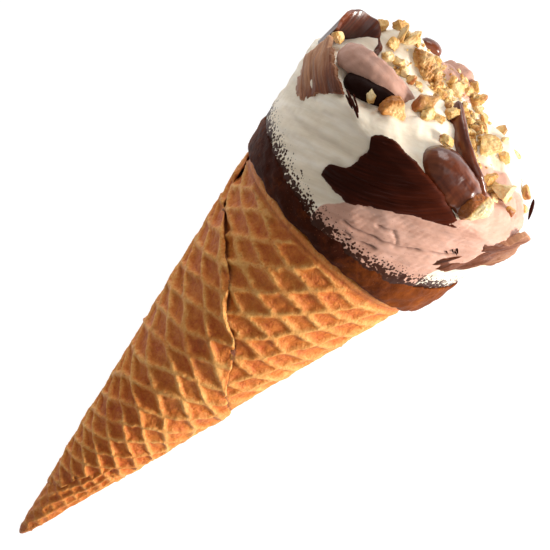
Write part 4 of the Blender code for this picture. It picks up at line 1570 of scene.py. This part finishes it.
@dataclass
class Chocolate:
    """The plates, the streaked sheets, the ovals and the scroll.

    Attributes:
        maker: builds the meshes.
        finishes: the shared finishes.
        filling: the head that the sheets lie on.
        plate: outline of the scraped plate in front.
        curl: outline of the streaked curl at the right.
        streaked: outline of the streaked sheet at the left.
        ovals: the rounded pieces.
        crest: height of the scroll's edge over its foot, by the angle along its turn.
    """

    maker: MeshMaker
    finishes: Finishes
    filling: Filling
    plate: Pairs = (
        (-9.3, 125.0), (-9.1, 121.7), (-0.6, 121.9), (1.2, 123.8), (4.8, 126.0),
        (11.0, 130.2), (19.2, 134.4), (11.0, 137.5), (3.3, 138.4), (-3.0, 138.3),
        (-6.0, 137.5), (-7.3, 135.8), (-5.4, 133.0), (-5.8, 128.0), (-6.6, 126.6),
    )  # fmt: skip
    curl: Pairs = (
        (-10.0, 123.4), (-5.5, 123.2), (1.0, 126.2), (7.0, 130.5), (10.4, 135.0),
        (11.3, 138.6), (8.2, 140.2), (4.8, 139.2), (3.2, 137.2), (-0.4, 135.8),
        (-4.6, 134.6), (-2.2, 133.0), (-2.6, 130.6), (-4.4, 128.6),
    )  # fmt: skip
    streaked: Pairs = (
        (-9.0, 131.0), (-3.5, 127.4), (0.8, 128.0), (4.2, 132.6), (9.2, 136.6),
        (3.0, 138.4), (-3.0, 139.8), (-8.2, 140.6),
    )  # fmt: skip
    ovals: tuple[Oval, ...] = (
        Oval(
            "chocolate_roll_glossy", "chocolate_roll",
            ((2.2, -25.0, 139.4), (7.4, -24.6, 139.9), (13.4, -23.4, 139.2), (18.6, -21.6, 137.8)),
            ((3.8, 3.6), (4.8, 4.8), (4.3, 4.5), (2.6, 3.2)), wrinkle=0.17, tone=0.28,
        ),
        Oval(
            "chocolate_ribbon_folded", "chocolate_ribbon",
            (
                (0.0, -12.6, 150.2), (3.0, -15.0, 147.0), (6.8, -17.4, 144.4),
                (12.2, -18.8, 142.2), (19.0, -17.4, 140.0),
            ),
            ((1.5, 1.0), (2.6, 1.2), (3.0, 1.2), (2.8, 1.1), (1.4, 0.8)),
            (0.35, -0.45, 1.0), 0.05, 0.3,
        ),
        # The pool's tone of -0.7 paints it near black, as painted shade of the hollow under the
        # tongue.
        Oval(
            "chocolate_pool_shaded", "chocolate_pool",
            (
                (-19.4, -18.8, 138.4), (-16.0, -20.4, 139.2),
                (-11.5, -20.8, 141.0), (-7.4, -19.4, 142.0),
            ),
            ((2.2, 2.6), (2.9, 3.7), (2.6, 3.5), (1.6, 2.4)),
            wrinkle=0.06, tone=-0.7, glossy=False,
        ),
        Oval(
            "chocolate_knob_glossy", "chocolate_knob",
            ((-14.4, 7.6, 148.6), (-12.8, 8.0, 150.1), (-11.2, 8.4, 150.3), (-10.2, 8.6, 149.2)),
            ((1.4, 1.5), (1.9, 2.0), (1.7, 1.9), (1.0, 1.2)), tone=0.4,
        ),
    )  # fmt: skip
    crest: Pairs = (
        (-48, 5.4), (-20, 6.8), (20, 7.8), (60, 9.8), (92, 10.9), (135, 10.2), (185, 8.2),
        (216, 5.6),
    )  # fmt: skip

    def plates(self) -> tuple[SheetCut, SheetCut]:
        """The scraped plate in front, and a narrower one behind that mirrors it."""
        behind = tuple((-x * 0.9, w - 2.0) for x, w in reversed(self.plate))
        front, back = Outline(self.plate, 0, (-1, 129)), Outline(behind, 165, (1, 127))
        return (
            SheetCut(
                "chocolate_plate_scraped", "chocolate_plate", front,
                32, -0.012, tones=(-0.15, 0.42),
            ),
            SheetCut(
                "chocolate_plate_back", "chocolate_plate_behind", back,
                -32, 0.012, tones=(0.3, -0.1),
            ),
        )  # fmt: skip

    def streaks(self) -> tuple[SheetCut, SheetCut]:
        """The curl at the right and the thin sheet at the left."""
        right = Outline(self.curl, 60, (1.5, 132.5))
        left = Outline(self.streaked, -52, (-1, 133))
        return (
            SheetCut(
                "chocolate_curl_streaked", "chocolate_curl_right", right,
                52, 0.01, 0.7, 1.2, 0.6, (-0.2, 0.3), 0.3,
            ),
            SheetCut(
                "chocolate_side_streaked", "chocolate_side_left", left,
                -24, -0.01, 0.5, 1.0, 0.35, (0.55, -0.1), 0.35,
            ),
        )  # fmt: skip

    def scroll(self) -> bpy.types.Object:
        """A shaving curled round: an arc that tightens along its turn, highest at its back."""
        rows, columns = 60, 150
        sweep = np.radians(np.linspace(self.crest[0][0], self.crest[-1][0], columns))
        share = np.linspace(0, 1, rows)[:, None]
        run = sweep * SCROLL_REACH
        ragged = 0.2 * ripple(np.stack([run, 0 * sweep], -1), 5.0, 74)
        height = share * (along_table(self.crest, np.degrees(sweep)) + ragged)
        fold = 0.08 * ripple(np.stack([run + 0 * share, height * 0.15], -1), 2.2, 75)
        outside = 5.7 * (1 - 0.06 * np.linspace(0, 1, columns)) + fold
        thick = 1.4 - 0.7 * share**6
        walls = []
        for reach in (outside, outside - thick):
            x, y = -24.2 + reach * np.cos(sweep), -6.9 + reach * np.sin(sweep)
            walls.append(np.stack([x, y, 137 + height], -1))
        # Painted sheen: the tone rises along the top rim.
        tone = 0.30 * share**6 - 0.05 + 0 * sweep
        marks = {"across": run + 0 * share, "along": height, "tone": tone}
        return self.maker.shell("chocolate_scroll_curled", *walls, marks, 50)

    def build(self) -> None:
        """Builds and dresses every piece of chocolate."""
        dark, glossy = self.finishes.dark, self.finishes.glossy
        for cut in self.plates():
            finished(cut.build(self.maker, self.filling), dark, Slot.DARK, cut.node)
        for cut in self.streaks():
            piece = cut.build(self.maker, self.filling)
            finished(piece, self.finishes.milk, Slot.MILK, cut.node)
        for oval in self.ovals:
            material = glossy if oval.glossy else dark
            finished(oval.build(self.maker), material, Slot.DARK, oval.node)
        finished(self.scroll(), glossy, Slot.DARK, "chocolate_scroll_left")


# ---------------------------------------------------------------- the nuts and crumbs


@dataclass(frozen=True)
class Chunk:
    """A broken bit: a ball with flat breaks, all its edges a little worn.

    The distance from its middle in a direction is the smooth least of the ball's radius and
    of each break's distance over the cosine to it: (sum of (cosine / distance)^p)^(-1/p).

    Attributes:
        centre: place of its middle.
        size: its three widths.
        turn: how it is turned, in degrees about each axis.
        seed: picks where its breaks are.
        breaks: how many flat breaks it has.
        sharp: the power p; more gives keener edges.
    """

    centre: Triple
    size: Triple
    turn: Triple
    seed: int
    breaks: int = 6
    sharp: float = 12.0

    def rings(self, rows: int, columns: int, rough: float) -> tuple[np.ndarray, np.ndarray]:
        """Its places and how much each is outer skin.

        Args:
            rows: rings from pole to pole.
            columns: places round each ring.
            rough: small unevenness as a share of its size.

        Returns:
            (rows, columns, 3) places, and their skin.
        """
        chance = np.random.default_rng(self.seed)
        ways = sphere_ways(rows, columns)
        planes = chance.normal(size=(self.breaks, 3))
        planes /= np.linalg.norm(planes, axis=1, keepdims=True)
        reach = chance.uniform(0.42, 0.78, self.breaks)
        cosine = np.maximum(ways @ planes.T, 1e-4) / reach
        total = (cosine**self.sharp).sum(-1) + 1.0
        small = ripples(ways, (rough, 0.7, self.seed + 5), (0.5 * rough, 0.3, self.seed + 6))
        distance = total ** (-1 / self.sharp) * (1 + small)
        skin = 1 / (1 + (cosine**4).sum(-1))
        places = ways * distance[..., None] * np.array(self.size) / 2
        return places @ turn_matrix(self.turn) + np.array(self.centre), skin


@dataclass(frozen=True)
class Bit:
    """A larger bit of peanut that stands for a solid of its own.

    Attributes:
        node: the solid's name.
        moved: how far its middle is from that of the solid's box.
        size: its three widths.
        turn: how it is turned.
        breaks: how many flat breaks it has.
        tone: how brown it roasted.
    """

    node: str
    moved: Triple
    size: Triple
    turn: Triple
    breaks: int = 6
    tone: float = 0.0


@dataclass
class Nuts:
    """Roasted peanut: large bits one by one, chips where they fell, and crumbs.

    Attributes:
        maker: builds the meshes.
        finishes: the shared finishes.
        filling: the head that they lie on.
        bits: the large bits.
        chips: smaller ones, as x, y, width, height and tone; each rests on the top.
        perched: chips that rest on another piece, as x, y, w, width, height and tone.
        clusters: crumbs, as x, y, spread, count and mean size.
        splinters: dark slivers on the side, as angle, height, length and lean.
        ridge: the crumbled ridge, as places and radii.
    """

    maker: MeshMaker
    finishes: Finishes
    filling: Filling
    bits: tuple[Bit, ...] = (
        Bit("peanut_half", (-0.6, 0.2, 0.4), (5.6, 3.8, 7.4), (0, 14, 10), 2, 0.0),
        Bit("peanut_caramel", (0.2, 0.4, -0.3), (6.0, 5.0, 6.6), (15, 8, 30), 6, 0.0),
        Bit("peanut_right_a", (-0.6, 0.2, -0.3), (3.2, 3.2, 4.0), (0, 20, 0), 6, 0.6),
        Bit("peanut_right_b", (-1.8, -0.6, -1.2), (6.4, 5.0, 6.2), (25, 12, 50), 7, 0.02),
        Bit("peanut_back_right", (-0.9, 2.2, 2.2), (5.4, 4.6, 6.2), (10, 18, 20), 6, 0.12),
        Bit("peanut_back_tall", (0.1, 1.6, 1.0), (2.4, 2.4, 4.6), (0, 8, 0), 5, 0.3),
        Bit("peanut_left_pair", (0.1, 0.3, -0.2), (1.9, 2.4, 4.8), (0, -12, 30), 5, 0.22),
        Bit("peanut_middle", (-2.6, -0.4, -0.6), (3.4, 2.6, 2.6), (10, 10, 10), 6, 0.5),
        Bit("peanut_left_edge", (-0.1, 0.0, 0.0), (2.8, 2.4, 3.7), (0, -30, 20), 5, 0.1),
    )
    chips: Rows = (
        (-19.8, 0.6, 2.9, 3.2, 0.6), (-22.4, -0.4, 2.7, 3.7, 0.25), (-18.4, -3.8, 2.7, 3.1, 0.45),
        (-16.2, -2.4, 2.3, 4.4, -0.25), (-14.8, -1.5, 1.6, 2.2, 0.5), (-17.2, -1.8, 1.8, 2.4, 0.1),
        (-9.3, 3.5, 1.8, 1.6, 0.5), (-7.6, 2.4, 2.0, 1.6, 0.2), (-3.6, 1.9, 1.9, 2.4, -0.15),
        (-1.8, 1.3, 3.0, 2.6, 0.05), (0.4, 6.0, 2.4, 2.9, 0.35), (3.0, 6.4, 1.9, 3.2, 0.5),
        (2.2, 4.0, 2.8, 2.8, 0.0), (4.0, 3.4, 2.0, 2.4, 0.1), (0.0, 3.0, 2.2, 2.4, 0.2),
        (-3.6, -2.5, 2.4, 2.1, 0.2), (-0.7, -2.4, 1.6, 1.8, 0.3), (1.3, -2.5, 2.7, 2.5, 0.3),
        (-2.5, -0.5, 2.0, 2.0, -0.1), (-4.6, -0.4, 1.8, 2.2, 0.1), (-5.4, -2.6, 1.7, 1.7, 0.35),
        (-3.9, -19.4, 4.2, 5.2, 0.85), (-2.6, -20.2, 2.5, 3.0, 0.0), (-0.9, -19.0, 3.0, 2.2, 0.15),
        (0.4, -17.6, 1.2, 1.2, 0.3), (-16.8, -6.7, 3.0, 2.1, -0.1), (-14.3, -6.4, 2.3, 2.2, 0.15),
        (-12.1, -7.0, 2.3, 2.1, -0.05), (-10.1, -8.4, 1.9, 2.2, 0.5), (-8.3, -7.9, 1.8, 1.3, 0.1),
        (-13.2, -8.2, 1.6, 1.5, 0.4), (6.4, 2.6, 1.3, 1.1, 0.1), (8.6, 3.7, 1.6, 1.1, 0.4),
        (10.2, -1.6, 2.2, 3.0, 0.25), (13.0, -0.6, 2.0, 2.6, -0.1), (15.5, 0.8, 2.6, 2.3, 0.4),
        (17.0, 7.6, 2.4, 0.9, 0.2), (24.0, 4.6, 3.0, 2.4, 0.6), (26.2, 3.6, 2.3, 2.2, -0.1),
        (5.0, 0.5, 2.0, 1.9, 0.0), (7.2, -1.5, 2.2, 2.0, -0.1), (8.6, -3.6, 2.2, 2.0, 0.0),
        (10.6, -5.5, 2.3, 3.0, -0.05), (6.0, -3.2, 1.6, 1.6, 0.2), (12.6, -7.2, 1.9, 1.8, 0.1),
        (18.2, -8.6, 2.7, 3.2, 0.4), (23.6, -10.4, 2.2, 2.6, 0.6), (20.6, -8.0, 2.8, 3.6, 0.05),
        (19.4, -11.2, 2.2, 3.0, 0.15), (17.2, -11.6, 1.8, 2.4, 0.5),
        (14.6, -9.4, 1.9, 2.2, 0.2), (-7.0, 14.0, 3.2, 2.6, 0.1), (6.0, 12.0, 2.8, 2.4, 0.3),
        (10.0, 18.0, 2.6, 2.2, 0.0), (-14.0, 16.0, 2.8, 2.2, 0.4), (0.0, 20.0, 2.4, 2.4, 0.2),
        (17.0, 16.0, 2.2, 2.0, 0.1), (-20.0, 9.0, 2.4, 2.2, 0.2), (-3.0, 24.0, 2.0, 1.8, 0.3),
    )  # fmt: skip
    perched: Rows = (
        (4.2, -21.6, 144.3, 3.4, 3.0, 0.4), (-13.2, -24.4, 140.5, 2.1, 3.9, -0.15),
        (1.0, -15.8, 148.0, 3.2, 3.2, 0.35), (-0.9, -14.0, 148.0, 1.9, 2.2, 0.3),
        (-3.4, -14.2, 147.4, 2.6, 2.3, 0.2),
    )  # fmt: skip
    clusters: Rows = (
        (-9.0, 0.5, 2.4, 46, 0.9),
        (-2.0, 0.5, 2.6, 44, 1.3),
        (6.8, -2.5, 2.8, 80, 1.15),
        (-13.0, -6.6, 2.4, 14, 0.8),
        (18.5, -9.0, 2.4, 16, 0.9),
        (11.5, -6.0, 2.4, 36, 1.1),
        (0.0, 6.0, 3.5, 20, 1.3),
        (0.0, 17.0, 9.0, 60, 1.2),
    )
    splinters: Rows = (
        (-31.5, 137.8, 2.2, 8), (-29.6, 137.5, 3.6, 14), (-27.6, 138.0, 2.4, 22),
        (-27.0, 137.1, 3.6, 17), (-24.8, 136.7, 2.8, 20), (-29.0, 136.8, 2.4, 12),
        (-31.0, 137.0, 2.0, 6), (-25.4, 137.4, 2.0, 26), (46.8, 129.6, 1.7, 36),
        (47.8, 128.9, 1.4, 28), (45.2, 129.0, 0.8, 30), (44.0, 128.0, 0.9, 10),
    )  # fmt: skip
    ridge: Rows = (
        (-14.2, -1.6, 149.2, 1.0), (-12.4, -1.8, 149.2, 1.7), (-9.8, -2.0, 148.6, 2.1),
        (-7.4, -1.6, 148.0, 2.0), (-5.8, -1.4, 146.6, 1.8), (-5.4, -2.4, 145.0, 1.2),
    )  # fmt: skip

    def larger(self) -> None:
        """Each large bit, near the middle of its solid's box."""
        for seed, bit in enumerate(self.bits, start=80):
            low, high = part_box(bit.node)
            middle = self.maker.cone.local(np.array((low + high) / 2)) + np.array(bit.moved)
            chunk = Chunk(tuple(middle), bit.size, bit.turn, seed, bit.breaks, 26.0)
            rings, skin = chunk.rings(64, 90, 0.06)
            if bit.node == "peanut_half":
                # The half is browner on its left side and pale at its right.
                skin = 2.2 * eased(-0.6, 0.6, middle[0] - rings[..., 0])
            marks = {"skin": skin, "tone": np.full(skin.shape, bit.tone)}
            piece = self.maker.closed_tube(f"{bit.node}_roasted", rings, marks, 40)
            coated = bit.node == "peanut_caramel"
            material = self.finishes.caramel if coated else self.finishes.peanut
            finished(piece, material, Slot.PEANUT, bit.node)

    def scattered(
        self, name: str, chunks: list[Chunk], grid: tuple[int, int], tones: list[float]
    ) -> bpy.types.Object:
        """One mesh of many chunks.

        Args:
            name: the piece's name.
            chunks: the bits.
            grid: rings of each bit, and places round each ring.
            tones: how brown each is.

        Returns:
            The object.
        """
        points, faces, skins, start = [], [], [], 0
        for chunk in chunks:
            rings, skin = chunk.rings(*grid, 0.09)
            places, corners = tube_faces(rings)
            points.append(places)
            faces += [[corner + start for corner in face] for face in corners]
            skins.append(np.concatenate([skin.reshape(-1), [skin[0].mean(), skin[-1].mean()]]))
            start += len(places)
        marks = {"skin": np.concatenate(skins), "tone": np.repeat(tones, grid[0] * grid[1] + 2)}
        return self.maker.build(name, np.concatenate(points), faces, marks, 35)

    def chopped(self) -> None:
        """The chips, each sunk a little into what it fell on."""
        chance = np.random.default_rng(90)
        chunks, tones = [], []
        for x, y, wide, high, tone in self.chips:
            level = float(self.filling.height_at(np.array(x), np.array(y))) + 0.28 * high
            wide, high = 1.25 * wide, 1.25 * high
            size = (wide, 0.8 * min(wide, high) + 0.3, high)
            turn = tuple(chance.uniform(-22, 22, 3))
            seed = int(chance.integers(1, 999))
            chunks.append(Chunk((x, y, level), size, turn, seed, 7, 24.0))
            tones.append(tone)
        for x, y, level, wide, high, tone in self.perched:
            turn = (0.0, -38.0 if wide < 2.2 < high else 10.0, 20.0)
            size, seed = (wide, wide, high), int(chance.integers(1, 999))
            chunks.append(Chunk((x, y, level), size, turn, seed, 6, 24.0))
            tones.append(tone)
        piece = self.scattered("peanut_chips_chopped", chunks, (26, 38), tones)
        finished(piece, self.finishes.peanut, Slot.PEANUT)

    def crumbled(self) -> None:
        """The crumbs, and the crumbled ridge on the left peak."""
        chance = np.random.default_rng(91)
        chunks = []
        for x, y, spread, count, mean in self.clusters:
            at = chance.normal((x, y), spread, (count, 2))
            at = at[np.hypot(at[:, 0], at[:, 1]) < 27.5]
            size = mean * np.exp(chance.normal(0, 0.38, len(at)))
            height = self.filling.height_at(at[:, 0], at[:, 1]) + 0.22 * size
            shape = chance.uniform(0.6, 1.4, (len(at), 3)) * size[:, None]
            turns = chance.uniform(-180, 180, (len(at), 3))
            seeds = chance.integers(1, 9999, len(at))
            rows = zip(at, height, shape, turns, seeds)
            chunks += [Chunk((*p, h), tuple(s), tuple(t), int(n)) for p, h, s, t, n in rows]
        tones = list(chance.uniform(-0.2, 0.4, len(chunks)))
        piece = self.scattered("peanut_crumbs_scattered", chunks, (6, 8), tones)
        finished(piece, self.finishes.peanut, Slot.PEANUT)
        path = np.array(self.ridge)
        line = resampled(path[:, :3], 130, closed=False)
        at = np.linspace(0, 1, 130)
        size = np.interp(at, np.linspace(0, 1, len(path)), path[:, 3])
        size = size * np.sqrt(np.clip(1 - (2 * at - 1) ** 6, 0.01, 1))
        turn = np.arange(100) / 100 * 2 * math.pi
        ring = np.stack([np.cos(turn), np.sin(turn)], -1) * size[:, None, None]
        rings = carried(line, ring, np.array([0.1, 0.1, 1.0]))
        rough = ripples(rings, (0.42, 2.4, 93), (0.26, 1.1, 94), (0.10, 0.5, 95))
        rings = rings + surface_of(rings) * rough[..., None]
        # Painted shade: skin is browner where the rough surface dips between crumbs and paler on
        # its bumps.
        marks = {"skin": 0.35 - 0.5 * rough, "tone": 0.1 + 0 * rough}
        piece = self.maker.closed_tube("peanut_crumb_ridge", rings, marks, 60)
        finished(piece, self.finishes.crumbs, Slot.PEANUT)

    def flakes(self) -> None:
        """Thin flakes of dark chocolate: on the top, beside the curl and on the front."""
        chance = np.random.default_rng(92)
        at = chance.normal((-1.0, -1.0), 7.0, (30, 2))
        at = np.concatenate([at, chance.normal((-7.5, 2.0), 1.6, (14, 2))])
        top = np.column_stack([at, self.filling.height_at(at[:, 0], at[:, 1]) + 0.15])
        chunks = []
        for place in top:
            size = chance.uniform(0.5, 1.4) * np.array((1.0, 0.28, 0.6))
            turn = chance.uniform(-180, 180, 3)
            seed = int(chance.integers(1, 999))
            chunks.append(Chunk(tuple(place), tuple(size), tuple(turn), seed))
        for angle, level, length, lean in self.splinters:
            radius = self.filling.radius(angle, level) + 0.45
            place = place_on_side(np.array(angle), radius, np.array(level))
            size = (length * 1.3, 0.7, 0.25 + 0.12 * length)
            chunks.append(Chunk(tuple(place), size, (0.0, lean, angle), int(level * 7), 4, 9.0))
        chunks.append(Chunk((27.4, 0.5, 142.6), (0.9, 0.5, 4.6), (0.0, -32.0, 0.0), 5, 4, 9.0))
        tones = [0.1] * len(chunks)
        piece = self.scattered("chocolate_flakes_scattered", chunks, (8, 12), tones)
        for mark in ("across", "along"):
            piece.data.attributes.new(mark, "FLOAT", "POINT")
        finished(piece, self.finishes.dark, Slot.DARK)

    def build(self) -> None:
        """Builds and dresses the nuts and the flakes."""
        self.larger()
        self.chopped()
        self.crumbled()
        self.flakes()


# ---------------------------------------------------------------- the studio


@dataclass(frozen=True)
class SoftLight:
    """A square diffusing light.

    Attributes:
        name: its name.
        way: direction in the world from the subject to it.
        distance: metres from the subject.
        side: its side in metres.
        power: watts.
        tint: colour code.
    """

    name: str
    way: Triple
    distance: float
    side: float
    power: float
    tint: str = "#FFFFFF"

    def build(self, aim: np.ndarray) -> None:
        """Hangs it and aims it."""
        data = bpy.data.lights.new(self.name, "AREA")
        data.size, data.energy, data.color = self.side, self.power, colour_of(self.tint)[:3]
        lamp = bpy.data.objects.new(self.name, data)
        bpy.context.scene.collection.objects.link(lamp)
        way = np.array(self.way) / np.linalg.norm(self.way)
        lamp.location = aim + way * self.distance
        lamp.rotation_euler = as_vector(way).to_track_quat("Z", "Y").to_euler()


def as_vector(values: np.ndarray) -> Vector:
    """Blender's vector of three numbers."""
    return Vector([float(value) for value in values])


@dataclass
class Studio:
    """Floor, lights and camera.

    Attributes:
        cone: the cone's frame.
        rise: how far the view looks down into the open end, in degrees.
        roll: how far the cone is turned past 45 degrees in the picture.
        aim: the place in the cone's frame that the camera looks at.
        distance: metres from it to the camera.
        lens: focal length in millimetres on a 36 mm sensor.
        lights: its lights.
    """

    cone: ConeFrame
    rise: float = 16.9
    roll: float = 0.0064
    aim: Triple = (-1.0, 0.0, 92.0)
    distance: float = 0.450
    lens: float = 134.1
    lights: tuple[SoftLight, ...] = (
        SoftLight("key_light", (0.50, -1.0, 0.32), 0.7, 0.20, 8.2, "#FFF8F0"),
        SoftLight("head_light", (0.85, 0.5, 0.35), 0.8, 0.4, 2.6),
        SoftLight("top_light", (0.1, -0.2, 1.0), 0.8, 0.6, 1.1),
    )

    def floor(self) -> None:
        """A wide sheet of paper a hair under the cone, turned up at its far edges."""
        reach = np.linspace(-1.4, 1.4, 41)
        x, y = np.meshgrid(reach, reach)
        far = np.maximum(np.hypot(x, y) - 1.0, 0)
        points = np.stack([x, y, far**2 * 0.5 - 0.00004], -1).reshape(-1, 3)
        mesh = bpy.data.meshes.new("paper_floor")
        mesh.from_pydata(points, [], grid_quads(41, 41).tolist())
        mesh.shade_smooth()
        sheet = bpy.data.objects.new("paper_floor", mesh)
        bpy.context.scene.collection.objects.link(sheet)
        mesh.materials.append(PaperFloor().make())

    def camera(self) -> None:
        """The camera: up is between the cone's axis and its left."""
        rise = math.radians(self.rise)
        back = self.cone.direction((0, -math.cos(rise), math.sin(rise)))
        across = self.cone.direction((1, 0, 0))
        upward = self.cone.direction((0, math.sin(rise), math.cos(rise)))
        side = across * math.cos(self.roll) + upward * math.sin(self.roll)
        head = upward * math.cos(self.roll) - across * math.sin(self.roll)
        right, up = (head + side) / math.sqrt(2), (head - side) / math.sqrt(2)
        place = self.cone.world(np.array([self.aim]))[0] + back * self.distance
        data = bpy.data.cameras.new("camera")
        data.lens, data.sensor_width, data.clip_start = self.lens, 36.0, 0.01
        seen = bpy.data.objects.new("camera", data)
        bpy.context.scene.collection.objects.link(seen)
        turned = Matrix(np.stack([right, up, back], 1).tolist()).to_4x4()
        seen.matrix_world = Matrix.Translation(as_vector(place)) @ turned
        bpy.context.scene.camera = seen

    def build(self) -> None:
        """Sets the floor, the lights, an even pale sky and the camera."""
        self.floor()
        middle = self.cone.world(np.array([[0.0, 0.0, 90.0]]))[0]
        for light in self.lights:
            light.build(middle)
        sky = bpy.data.worlds.new("studio_air")
        sky.use_nodes = True
        sky.node_tree.nodes["Background"].inputs["Color"].default_value = colour_of("#FFF5E9")
        sky.node_tree.nodes["Background"].inputs["Strength"].default_value = 0.245
        bpy.context.scene.world = sky
        bpy.context.scene.view_settings.view_transform = "Standard"
        self.camera()


def main() -> None:
    """Builds the studio and every piece, in order."""
    logging.basicConfig(level=logging.INFO, stream=sys.stdout, format="%(name)s: %(message)s")
    cone = ConeFrame.from_cad()
    maker = MeshMaker(cone)
    finishes = Finishes.mixed()
    Studio(cone).build()
    Wafer(maker, finishes).build()
    filling = Filling(maker, finishes)
    filling.build()
    Band(maker, finishes, filling).build()
    IceCreamFolds(maker, finishes).build()
    Chocolate(maker, finishes, filling).build()
    Nuts(maker, finishes, filling).build()


if __name__ == "__main__":
    main()
